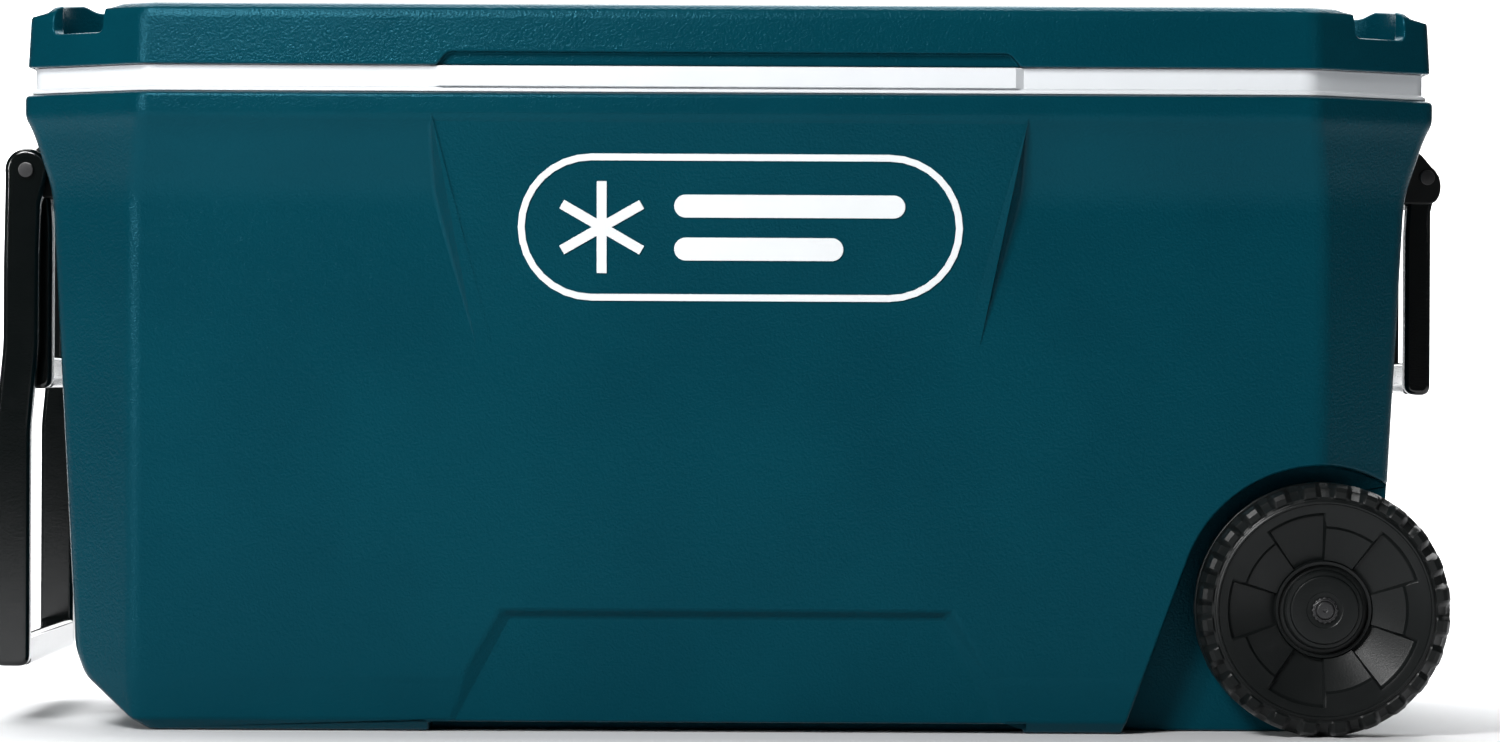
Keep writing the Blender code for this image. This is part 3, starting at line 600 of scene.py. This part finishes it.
def end_trim(side, inset, softness):
    """What is cut from the top of a lid end, down to its profile."""
    profile = [(x, z - inset) for x, z in END_PROFILE]
    if softness:
        profile = soften(profile, 0.0035, closed=False, steps=3)
    over = LID_TOP + 0.03
    outline = [(profile[0][0], over), *profile, (profile[-1][0], over)]
    return side_prism(mirrored(side, outline), -0.3, 0.3)


def cup_recess(side_x, side_y, inset):
    """A round recess near a lid corner, and the notch that opens it through the corner."""
    floor = CUP_FLOOR - inset
    cup = cylinder((side_x * CUP_X, side_y * CUP_Y, floor + 0.025), (0, 0, 1), CUP_RADIUS + inset, 0.05, 64)
    outward = math.atan2(side_y, side_x * CORNER_RATIO)
    half, floor, over = NOTCH_HALF + inset, NOTCH_FLOOR - inset, LID_TOP + 0.02
    corners = [(-half, over), (-half, floor), (half, floor), (half, over)]
    slot = [corners[0], *soften(corners, 0.005, False)[1:]]
    upright = Matrix(((0, 0, 1, 0), (1, 0, 0, 0), (0, 1, 0, 0), (0, 0, 0, 1)))
    place = Matrix.Translation((side_x * CUP_X, side_y * CUP_Y, 0)) @ Matrix.Rotation(outward, 4, "Z")
    return [cup, prism(slot, 0.09, place @ Matrix.Translation((0.045, 0, 0)) @ upright)]


def finger_recess(inset):
    half, slant, top = FINGER_HALF + inset, 0.008, FINGER_TOP + inset
    low = LID_BOTTOM - 0.01
    outline = [(-half - slant, low), (half + slant, low), (half - slant, top), (-half + slant, top)]
    return side_prism(soften(outline, 0.003), -0.3, -(FINGER_FACE_Y - inset))


def lid_form(inset, low=LID_BOTTOM, softness=0.0):
    levels = [(level[0] - inset, *level[1:]) for level in LID_LEVELS]
    form = loft(levels, inset, low=low, softness=softness)
    cut(form, *[end_trim(side, inset, softness) for side, _ in ENDS])
    for side_x, _ in ENDS:
        for side_y, _ in SIDES:
            cut(form, *cup_recess(side_x, side_y, inset))
    return cut(form, finger_recess(inset))


class COOLER_OT_lid(bpy.types.Operator):
    """Builds the lid's outer skin and its inner sheet"""

    bl_idname = "cooler.lid"
    bl_label = "Build lid"

    def execute(self, context):
        shell = lid_form(0.0, softness=CREASE_SOFTNESS)
        round_edges(shell, 0.0014, sharpest=32)
        cut(shell, lid_form(SKIN, low=LID_BOTTOM - 0.01))
        finish_piece(shell, "lid_skin", "lid", "teal_shell", "lid_shell", smooth=30)

        sheet_inset = SKIN + 2 * GAP
        sheet_levels = [(height, *LID_LEVELS[0][1:]) for height in LID_SHEET]
        liner = cut(loft(sheet_levels, sheet_inset, softness=CREASE_SOFTNESS), finger_recess(sheet_inset))
        plug_size = (*PLUG_HALF, PLUG_HALF[0] - 0.03, 0.0)
        plug_levels = [(PLUG_LOW, *plug_size), (LID_SHEET[0] + 0.001, *plug_size)]
        join(liner, loft(plug_levels, softness=CREASE_SOFTNESS))
        round_edges(liner, 0.0012, sharpest=50)
        cut(liner, loft(plug_levels, SKIN, low=PLUG_LOW + SKIN, high=LID_SHEET[1] + 0.01))
        finish_piece(liner, "lid_sheet", "lid", "white_liner", "lid_liner")
        return {"FINISHED"}


# ---- handles ---------------------------------------------------------------------------------


def eye(radius, start, end, steps=20):
    """Points round the pivot, in degrees from straight out."""
    angles = [math.radians(start + (end - start) * step / steps) for step in range(steps + 1)]
    return [(PIVOT_OUT + radius * math.cos(a), PIVOT_Z + radius * math.sin(a)) for a in angles]


LIFT_LEG = (
    (0.4560, 0.352), (0.4545, 0.330), (0.4545, 0.2222), (0.4716, 0.2215), (0.4716, 0.345),
)
TOW_LEG = (
    (0.4590, 0.345), (0.4600, 0.306), (0.4600, 0.251), (0.4650, 0.196), (0.4650, 0.037),
    (0.4885, 0.037), (0.4885, 0.196), (0.4832, 0.251), (0.4832, 0.306), (0.4825, 0.345),
)
BRACKET = (
    (0.4473, 0.3500), (0.4700, 0.3500), (0.4740, 0.3515), (0.4768, 0.3560), (0.4776, 0.3620),
    (0.4765, 0.3685), (0.4640, 0.3835), (0.4610, 0.3847), (0.4580, 0.3847), (0.4478, 0.3530),
)


def leg_outline(side, head, leg):
    return mirrored(side, head + soften(leg, 0.007, closed=False, steps=6))


def swing_handle(side, outline, leg_y, bar, rounding):
    """Two legs and a bar, joined, hanging from eyes on the pivot rod."""
    (inner, low), (outer, high) = bar
    ends = sorted((side * inner, side * outer))
    crossbar = box((ends[0], -leg_y[0] - 0.006, low), (ends[1], leg_y[0] + 0.006, high))
    legs = [side_prism(outline, -leg_y[1], -leg_y[0]), side_prism(outline, *leg_y)]
    handle, *others = [round_edges(piece, rounding, 40, 4) for piece in (*legs, crossbar)]
    join(handle, *others)
    return cut(handle, cylinder((side * PIVOT_OUT, 0, PIVOT_Z), (0, 1, 0), ROD_BORE, 0.3))


def pan_head(shank, head, head_height, length, seat, axis):
    """A screw with a domed head and a cross recess."""
    profile = [(0, head_height), (head * 0.55, head_height), (head * 0.92, head_height * 0.62), (head, 0),
               (shank, 0), (shank, -length), (0, -length)]
    screw = lathe(profile, (0, 0, 0), (0, 0, 1), softness=0.0005, columns=32)
    arm, half, floor = head * 0.55, head * 0.11, head_height * 0.35
    cross = [box((-x, -y, floor), (x, y, 0.01)) for x, y in ((arm, half), (half, arm))]
    cut(screw, join(*cross))
    screw.data.transform(Matrix.Translation(seat) @ facing(axis))
    return screw


class COOLER_OT_handles(bpy.types.Operator):
    """Builds the end brackets, the lift handles, the tow handle and their rods and screws"""

    bl_idname = "cooler.handles"
    bl_label = "Build handles"

    def execute(self, context):
        for side, where in ENDS:
            self.build_bracket(side, where)
            outline = leg_outline(side, eye(0.0085, -20, 180), LIFT_LEG)
            lift = swing_handle(side, outline, LIFT_LEG_Y, ((0.4550, 0.2222), (0.4712, 0.2435)), 0.0032)
            finish_piece(lift, f"lift_grip_{where}", f"lift_{where}", "black_gloss", f"lift_handle_{where}")
        outline = leg_outline(-1, eye(0.0145, -10, 180), TOW_LEG)
        tow = swing_handle(-1, outline, TOW_LEG_Y, ((0.4652, 0.0372), (0.4883, 0.0585)), 0.0035)
        finish_piece(tow, "tow_grip", "tow", "black_gloss", "tow_handle")
        return {"FINISHED"}

    def build_bracket(self, side, where):
        bracket = side_prism(mirrored(side, soften(BRACKET, 0.002)), -BRACKET_HALF_Y, BRACKET_HALF_Y)
        for near, far in (SLOT_Y, (-SLOT_Y[1], -SLOT_Y[0])):
            ends = sorted((side * 0.4530, side * 0.49))
            cut(bracket, box((ends[0], near, 0.30), (ends[1], far, 0.40)))
        round_edges(bracket, 0.0012, sharpest=40)
        cut(bracket, cylinder((side * PIVOT_OUT, 0, PIVOT_Z), (0, 1, 0), ROD_BORE, 0.3))
        screws = []
        for row, height in enumerate(BRACKET_SCREW_Z):
            for y in (-BRACKET_SCREW_Y, BRACKET_SCREW_Y):
                outward = (side, 0, 0)
                cut(bracket, cylinder((side * (BRACKET_SEAT + 0.02), y, height), outward, 0.0045, 0.04, 32),
                    cylinder((side * 0.455, y, height), outward, 0.0022, 0.04, 24))
                depth = 0.0088 if row else 0.0155
                seat = (side * (BRACKET_SEAT + GAP), y, height)
                screws.append(pan_head(0.0019, 0.0040, 0.0024, depth + GAP + 0.0025, seat, outward))
        finish_piece(bracket, f"handle_bracket_{where}", "root", "black_matte", f"end_bracket_{where}")
        nodes = [f"bracket_screw_{where}_{number}" for number in (1, 2, 3, 4)]
        finish_piece(merge(screws), f"bracket_screws_{where}", "root", "steel", *nodes)
        reach = TOW_LEG_Y[1] if side < 0 else BRACKET_HALF_Y
        rod = [(0, reach + 0.003), (0.005, reach + 0.003), (0.005, reach + 0.0005), (0.003, reach + 0.0005),
               (0.003, -reach - 0.005), (0, -reach - 0.005)]
        pivot = (side * PIVOT_OUT, 0, PIVOT_Z)
        rod = lathe(rod, pivot, (0, -1, 0), softness=0.0008)
        finish_piece(rod, f"swing_rod_{where}", "root", "dark_steel", f"pivot_rod_{where}")
        clip = lathe([(0.0033, 0.0012), (0.0055, 0.0012), (0.0055, -0.0012), (0.0033, -0.0012)],
                     (pivot[0], reach + 0.0020, PIVOT_Z), (0, 1, 0), ring=True)
        finish_piece(clip, f"swing_clip_{where}", "root", "dark_steel", f"rod_clip_{where}")


# ---- wheels ----------------------------------------------------------------------------------

# Hub, bowl, face and tread of a wheel, by radius and distance outwards from its middle
WHEEL_HUB = ((0.0065, 0.0192), (0.0072, 0.0200), (0.0115, 0.0202), (0.0120, 0.0205), (0.0205, 0.0205),
             (0.0218, 0.0200), (0.0226, 0.0186), (0.0246, 0.0182), (0.0256, 0.0172), (0.0262, 0.0095))
WHEEL_TRENCH = ((0.0290, 0.0088), (0.0294, 0.0118), (0.0312, 0.0122), (0.0318, 0.0100))
WHEEL_RIM = ((0.0632, 0.0222), (0.0650, 0.0228), (0.0688, 0.0232), (0.0693, 0.0243), (0.0702, 0.0245),
             (0.0710, 0.0241), (0.0713, 0.0230), (0.0722, 0.0226))
WHEEL_BACK = ((0.0775, -0.0240), (0.0700, -0.0245), (0.0690, -0.0240), (0.0670, -0.0110), (0.0660, -0.0100),
              (0.0255, -0.0042), (0.0248, -0.0050), (0.0200, -0.0320), (0.0195, -0.0325), (0.0065, -0.0325))


def between(low, high, share):
    return tuple(a + (b - a) * share for a, b in zip(low, high))


def plateau(angle, period, half_width, ramp):
    """1 in the middle of each period of an angle, 0 away from it, with a ramp between."""
    away = abs((angle + period / 2) % period - period / 2)
    share = min(max((half_width + ramp / 2 - away) / ramp, 0.0), 1.0)
    return share * share * (3 - 2 * share)


def wheel_section(angle, lugs):
    """The closed profile of the wheel at one angle: raised sectors in the bowl and notched shoulders."""
    raised = plateau(angle, 2 * math.pi / 5, math.pi / 10, 0.012)
    bowl = [
        between((0.0322, 0.0078), (0.0322, 0.0112), raised),
        between((0.0605, 0.0188), (0.0528, 0.0190), raised),
        between((0.0618, 0.0200), (0.0545, 0.0212), raised),
    ]
    period = 2 * math.pi / lugs
    front = plateau(angle, period, 0.22 * period, 0.22 * period)
    rear = plateau(angle + period / 2, period, 0.22 * period, 0.22 * period)
    tread = [
        between((0.0735, 0.0236), (0.0735, 0.0222), front),
        between((0.0772, 0.0238), (0.0772, 0.0176), front),
        between((0.0800, 0.0222), (0.0790, 0.0162), front),
        between((0.0817, 0.0192), (0.0796, 0.0150), front),
        between((WHEEL_RADIUS, 0.0160), (0.0806, 0.0135), front),
        (WHEEL_RADIUS, 0.0110), (WHEEL_RADIUS, 0.0016), (0.0813, 0.0010), (0.0813, -0.0010),
        (WHEEL_RADIUS, -0.0016), (WHEEL_RADIUS, -0.0110),
        between((WHEEL_RADIUS, -0.0160), (0.0806, -0.0135), rear),
        between((0.0817, -0.0192), (0.0796, -0.0150), rear),
        between((0.0800, -0.0222), (0.0790, -0.0162), rear),
        between((0.0785, -0.0236), (0.0780, -0.0176), rear),
    ]
    return [*WHEEL_HUB, *WHEEL_TRENCH, *bowl, *WHEEL_RIM, *tread, *WHEEL_BACK]


def build_wheel(side, lugs, columns=360):
    bm = bmesh.new()
    rows = []
    for column in range(columns):
        angle = 2 * math.pi * column / columns
        section = wheel_section(angle, lugs)
        rows.append([bm.verts.new((r * math.cos(angle), r * math.sin(angle), h)) for r, h in section])
    for near, far in zip(rows, rows[1:] + rows[:1]):
        for index in range(len(near)):
            after = (index + 1) % len(near)
            bm.faces.new((near[index], far[index], far[after], near[after]))
    placing = Matrix.Translation((AXLE_X, side * WHEEL_MIDDLE_Y, AXLE_Z)) @ facing((0, side, 0))
    bmesh.ops.transform(bm, matrix=placing, verts=bm.verts)
    return new_object("wheel", bm)


def serrated(count, depth, outer):
    """A lathe shape with shallow teeth round its outer edge."""

    def shape(radius, height, angle):
        tooth = depth * (0.5 - 0.5 * math.cos(count * angle))
        return (radius - tooth if radius > outer else radius), height

    return shape


class COOLER_OT_wheels(bpy.types.Operator):
    """Builds the two wheels, the axle and what holds them on it"""

    bl_idname = "cooler.wheels"
    bl_label = "Build wheels"

    def execute(self, context):
        middle = (AXLE_X, 0, AXLE_Z)
        axle = [(0, 0.2162), (0.0012, 0.2162), (0.0014, 0.2165), (0.0050, 0.2165), (0.0060, 0.2155),
                (0.0060, -0.2155), (0.0050, -0.2165), (0.0014, -0.2165), (0.0012, -0.2162), (0, -0.2162)]
        finish_piece(lathe(axle, middle, (0, 1, 0)), "wheel_axle", "root", "dark_steel", "axle")
        tube = [(0.0066, 0.1485), (0.009, 0.1485), (0.009, -0.1485), (0.0066, -0.1485)]
        sleeve = lathe(tube, middle, (0, 1, 0), True)
        finish_piece(sleeve, "axle_tube", "root", "black_matte", "axle_sleeve")
        for side, where in SIDES:
            axis = (0, side, 0)
            wheel = build_wheel(side, context.scene.cooler.lugs)
            finish_piece(
                wheel, f"road_wheel_{where}", f"wheel_{where}_body", "black_matte", f"wheel_{where}", smooth=24
            )
            bush = lathe([(0.0063, 0.0020), (0.0130, 0.0020), (0.0130, GAP), (0.0085, GAP), (0.0085, -0.0060),
                          (0.0063, -0.0060)], (AXLE_X, side * WELL_INNER_Y, AXLE_Z), axis, True)
            finish_piece(bush, f"bush_{where}", "root", "black_matte", f"axle_bush_{where}")
            washer = lathe([(0.0063, 0.0009), (0.0115, 0.0009), (0.0115, -0.0009), (0.0063, -0.0009)],
                           (AXLE_X, side * 0.1584, AXLE_Z), axis, True)
            finish_piece(washer, f"washer_{where}", "root", "steel", f"wheel_washer_{where}")
            nut = [(0.0063, 0.0011), (0.0069, 0.0011), (0.0074, 0.0004), (0.0080, 0.0004),
                   (0.0088, -0.0002), (0.0088, -0.0011), (0.0063, -0.0011)]
            seat = (AXLE_X, side * (WHEEL_MIDDLE_Y + 0.0205 + GAP + 0.0011), AXLE_Z)
            nut = lathe(nut, seat, axis, True, 0.0002, 96, serrated(16, 0.0007, 0.0078))
            finish_piece(nut, f"cap_nut_{where}", "root", "dark_steel", f"push_nut_{where}")
        return {"FINISHED"}


# ---- drain -----------------------------------------------------------------------------------


class COOLER_OT_drain(bpy.types.Operator):
    """Builds the drain: spout, gasket, nut, ribbed cap and its seal"""

    bl_idname = "cooler.drain"
    bl_label = "Build drain"

    def execute(self, context):
        thread = ((0.0109, 0.0140), (0.0104, 0.0130), (0.0104, 0.0121))
        threads = [(radius, height - 0.003 * turn) for turn in range(3) for radius, height in thread]
        pieces = (
            ("drain_ring", "root", "seal_rubber", "drain_gasket", True, None,
             [(0.0108, 0.0018), (0.0175, 0.0018), (0.0175, GAP), (0.0108, GAP)]),
            ("drain_pipe", "root", "black_matte", "drain_spout", True, None,
             [(0.0075, 0.0150), (0.0104, 0.0150), *threads, (0.0104, 0.0050), (0.0180, 0.0050),
              (0.0180, 0.0021), (DRAIN_TUBE, 0.0021), (DRAIN_TUBE, -0.0260), (0.0075, -0.0260)]),
            ("drain_lock", "root", "black_matte", "drain_nut", True, serrated(24, 0.0008, 0.0150),
             [(0.0108, -0.0182), (0.0155, -0.0182), (0.0155, -0.0235), (0.0108, -0.0235)]),
            ("drain_lid", "drain_knob", "black_matte", "drain_cap", False, serrated(24, 0.0010, 0.0140),
             [(0, 0.0184), (0.0090, 0.0184), (0.0100, 0.0190), (0.0130, 0.0190), (0.0145, 0.0175),
              (0.0150, 0.0054), (0.0114, 0.0054), (0.0114, 0.0168), (0, 0.0168)]),
            ("drain_disc", "drain_plug", "seal_rubber", "drain_cap_seal", False, None,
             [(0, 0.0165), (0.0108, 0.0165), (0.0108, 0.0153), (0, 0.0153)]),
        )
        for name, body, look, node, ring, shape, profile in pieces:
            columns = 192 if shape else 48
            obj = lathe(profile, (-DRAIN_SEAT, 0, DRAIN_Z), (-1, 0, 0), ring, 0.0003, columns, shape)
            finish_piece(obj, name, body, look, node)
        return {"FINISHED"}


# ---- hinges ----------------------------------------------------------------------------------


class COOLER_OT_hinges(bpy.types.Operator):
    """Builds the two hinges at the back: leaves with knuckles, pins and screws"""

    bl_idname = "cooler.hinges"
    bl_label = "Build hinges"

    def execute(self, context):
        for side, where in ENDS:
            middle = side * HINGE_X
            outer, inner = ((-HINGE_HALF, -0.0103), (0.0103, HINGE_HALF)), ((-0.0097, 0.0097),)
            leaves = (
                ("body", "root", (0.4030, 0.4283), (0.2228, 0.2258), outer, (0.4270, 0.4330), 0.4080, 0.0057),
                ("lid", "lid", (0.4392, 0.4640), (0.2212, 0.2242), inner, (0.4345, 0.4400), 0.4540, 0.0068),
            )
            for label, body, heights, depths, spans, web, screw_z, length in leaves:
                outline = [(middle - HINGE_HALF, heights[0]), (middle + HINGE_HALF, heights[0]),
                           (middle + HINGE_HALF, heights[1]), (middle - HINGE_HALF, heights[1])]
                leaf = side_prism(soften(outline, 0.0035), *depths)
                round_edges(leaf, 0.0006, sharpest=40)
                for start, end in spans:
                    low, high = middle + start, middle + end
                    knuckle = cylinder(((low + high) / 2, HINGE_Y, HINGE_Z), (1, 0, 0), 0.0048, high - low)
                    link = box((low, depths[0], web[0]), (high, 0.2290, web[1]))
                    join(leaf, link, round_edges(knuckle, 0.0005, 60))
                cut(leaf, cylinder((middle, HINGE_Y, HINGE_Z), (1, 0, 0), 0.0023, 0.08, 32))
                screws = []
                for offset in (-HINGE_SCREW_X, HINGE_SCREW_X):
                    seat = (middle + offset, depths[1] + GAP, screw_z)
                    cut(leaf, cylinder((seat[0], 0.222, screw_z), (0, 1, 0), 0.0020, 0.012, 24))
                    screws.append(pan_head(0.0017, 0.0035, 0.0020, length, seat, (0, 1, 0)))
                finish_piece(leaf, f"{label}_leaf_{where}", body, "black_matte", f"hinge_{label}_leaf_{where}")
                nodes = [f"hinge_{label}_screw_{where}_{number}" for number in (1, 2)]
                finish_piece(merge(screws), f"{label}_leaf_screws_{where}", body, "steel", *nodes)
            pin = [(0, 0.026), (0.002, 0.026), (0.002, -0.026), (0, -0.026)]
            pin = lathe(pin, (middle, HINGE_Y, HINGE_Z), (1, 0, 0))
            finish_piece(pin, f"pin_{where}", "root", "steel", f"hinge_pin_{where}")
        return {"FINISHED"}


# ---- front graphic ---------------------------------------------------------------------------


def pill(half_x, half_y, centre=(0, 0), steps=16):
    points = []
    for sign, start in ((1, -90), (-1, 90)):
        for step in range(steps + 1):
            angle = math.radians(start + 180 * step / steps)
            points.append((centre[0] + sign * (half_x - half_y) + half_y * math.cos(angle),
                           centre[1] + half_y * math.sin(angle)))
    return points


def star(centre, radius, waist, arms=6):
    """A star of narrow arms, drawn as one outline."""
    points = []
    half = waist / 2
    root = half / math.tan(math.pi / arms)
    for arm in range(arms):
        angle = 2 * math.pi * arm / arms + math.pi / 2
        along = Vector((math.cos(angle), math.sin(angle)))
        across = Vector((-math.sin(angle), math.cos(angle)))
        for reach, side in ((root, -1), (radius, -1), (radius, 1)):
            points.append(tuple(Vector(centre) + along * reach + across * side * half))
    return points


class COOLER_OT_badge(bpy.types.Operator):
    """Builds the raised graphic on the middle panel"""

    bl_idname = "cooler.badge"
    bl_label = "Build graphic"

    def execute(self, context):
        (_, top_y, top), (_, foot_y, foot) = PANEL_POINTS[:2]
        slope = (top_y - foot_y) / (top - foot)
        y = -(foot_y + slope * (BADGE_Z - foot))
        lean = math.atan(slope)
        out = GAP + BADGE_THICKNESS / 2
        centre = Vector((BADGE_X, y - out * math.cos(lean), BADGE_Z - out * math.sin(lean)))
        placing = Matrix.Translation(centre) @ Matrix.Rotation(math.pi / 2 + lean, 4, "X")
        half_x, half_y = BADGE_HALF
        border = prism(pill(half_x, half_y), BADGE_THICKNESS, placing)
        cut(border, prism(pill(half_x - BADGE_LINE, half_y - BADGE_LINE), 0.01, placing))
        outlines = {
            "badge_snowflake": ("graphic_star", star((-0.090, 0), 0.030, 0.0065)),
            "badge_bar_upper": ("graphic_bar_long", pill(0.075, 0.0075, (0.032, 0.014))),
            "badge_bar_lower": ("graphic_bar_short", pill(0.055, 0.0075, (0.012, -0.014))),
        }
        pieces = {"badge_frame": ("graphic_border", border)}
        for node, (name, outline) in outlines.items():
            pieces[node] = name, prism(outline, BADGE_THICKNESS, placing)
        for node, (name, obj) in pieces.items():
            round_edges(obj, 0.00025, sharpest=60, segments=2)
            finish_piece(obj, name, "root", "white_print", node)
        return {"FINISHED"}


# ---- studio ----------------------------------------------------------------------------------


def aim(obj, target):
    obj.rotation_euler = (Vector(target) - obj.location).to_track_quat("-Z", "Y").to_euler()


def add_light(name, location, target, size, power):
    data = bpy.data.lights.new(name, "AREA")
    data.shape = "RECTANGLE"
    data.size, data.size_y = size
    data.energy = power * bpy.context.scene.cooler.light
    lamp = bpy.data.objects.new(name, data)
    lamp.location = location
    bpy.context.scene.collection.objects.link(lamp)
    aim(lamp, target)


class COOLER_OT_studio(bpy.types.Operator):
    """Adds the pale floor, the soft lights and the camera"""

    bl_idname = "cooler.studio"
    bl_label = "Build studio"

    def execute(self, context):
        scene = context.scene
        floor = box((-30, -30, -0.02), (30, 30, -0.0005))
        floor.name = "floor"
        floor.data.materials.append(
            make_look(
                "floor", ((0.62, 0.63, 0.64), (0.64, 0.64, 0.65)), (0.7, 0.8), 90, 0.00005, gloss=0.2, mottle=2
            )
        )

        world = bpy.data.worlds.new("studio")
        world.use_nodes = True
        background = world.node_tree.nodes["Background"]
        background.inputs["Color"].default_value = (0.94, 0.97, 1.0, 1)
        background.inputs["Strength"].default_value = 0.06
        scene.world = world
        scene.view_settings.view_transform = "Standard"

        glow = bpy.data.materials.new("backdrop_glow")
        glow.use_nodes = True
        shader = glow.node_tree.nodes["Principled BSDF"]
        shader.inputs["Base Color"].default_value = (0.9, 0.9, 0.9, 1)
        shader.inputs["Emission Color"].default_value = (1, 1, 1, 1)
        shader.inputs["Emission Strength"].default_value = 0.95
        backdrop = box((-1.6, 2.2, -0.1), (1.6, 2.25, 2))
        backdrop.name = "backdrop"
        backdrop.data.materials.append(glow)

        middle = (0, 0, 0.22)
        add_light("top", (0, 0.35, 2.1), (0, 0.3, 0.3), (2.6, 1.0), 70)
        add_light("rear_top", (0, 1.4, 1.9), (0, 1.2, 0), (3.4, 0.8), 60)
        add_light("front", (-1.2, -2.4, 2.2), (0, -0.2, 0.25), (0.8, 0.8), 70)
        add_light("key", (-0.5, -1.6, 1.1), (0.2, -0.2, 0.15), (0.3, 0.3), 12)
        add_light("left_strip", (-1.9, -2.2, 0.8), (-0.38, -0.2, 0.45), (0.08, 0.7), 24)
        add_light("right_strip", (1.9, -2.2, 0.75), (0.38, -0.2, 0.4), (0.06, 0.7), 1.5)

        data = bpy.data.cameras.new("camera")
        data.lens = 126.0
        data.sensor_width = 36
        camera = bpy.data.objects.new("camera", data)
        camera.location = (0.0147, -3.62, 0.236)
        camera.rotation_euler = (math.radians(90), math.radians(scene.cooler.camera_roll), 0)
        scene.collection.objects.link(camera)
        scene.camera = camera
        return {"FINISHED"}


# ---- add-on ----------------------------------------------------------------------------------


class CoolerSettings(bpy.types.PropertyGroup):
    edge_softness: bpy.props.FloatProperty(
        name="Edge softness", description="Share of the usual rounding of moulded edges",
        default=1.0, min=0.2, max=1.5,
        subtype="FACTOR",
    )
    grain: bpy.props.FloatProperty(
        name="Grain", description="Strength of the fine grain on every surface",
        default=0.6, min=0.0, max=1.0,
        subtype="FACTOR",
    )
    lugs: bpy.props.IntProperty(
        name="Tread lugs", description="Number of lugs round each shoulder of a wheel",
        default=24, min=8, max=40,
    )
    light: bpy.props.FloatProperty(
        name="Light", description="Share of the usual power of the studio lights",
        default=1.0, min=0.0, max=4.0,
        subtype="FACTOR",
    )
    camera_roll: bpy.props.FloatProperty(
        name="Camera roll", description="Tilt of the camera about its line of sight, in degrees",
        default=-0.27, min=-5.0, max=5.0,
    )


STEPS = (
    COOLER_OT_looks, COOLER_OT_tub, COOLER_OT_lid, COOLER_OT_handles, COOLER_OT_wheels, COOLER_OT_drain,
    COOLER_OT_hinges, COOLER_OT_badge, COOLER_OT_studio,
)


class COOLER_PT_panel(bpy.types.Panel):
    """The cooler's settings and steps"""

    bl_label = "Cooler on wheels"
    bl_space_type = "VIEW_3D"
    bl_region_type = "UI"
    bl_category = "Cooler"

    def draw(self, context):
        settings = context.scene.cooler
        for name in ("edge_softness", "grain", "lugs", "light", "camera_roll"):
            self.layout.prop(settings, name)
        for step in STEPS:
            self.layout.operator(step.bl_idname)


CLASSES = (CoolerSettings, *STEPS, COOLER_PT_panel)


def register():
    for cls in CLASSES:
        bpy.utils.register_class(cls)
    bpy.types.Scene.cooler = bpy.props.PointerProperty(type=CoolerSettings)


def unregister():
    del bpy.types.Scene.cooler
    for cls in reversed(CLASSES):
        bpy.utils.unregister_class(cls)


def main():
    register()
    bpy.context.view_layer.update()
    for step in STEPS:
        group, _, action = step.bl_idname.partition(".")
        getattr(getattr(bpy.ops, group), action)()


if __name__ == "__main__":
    main()
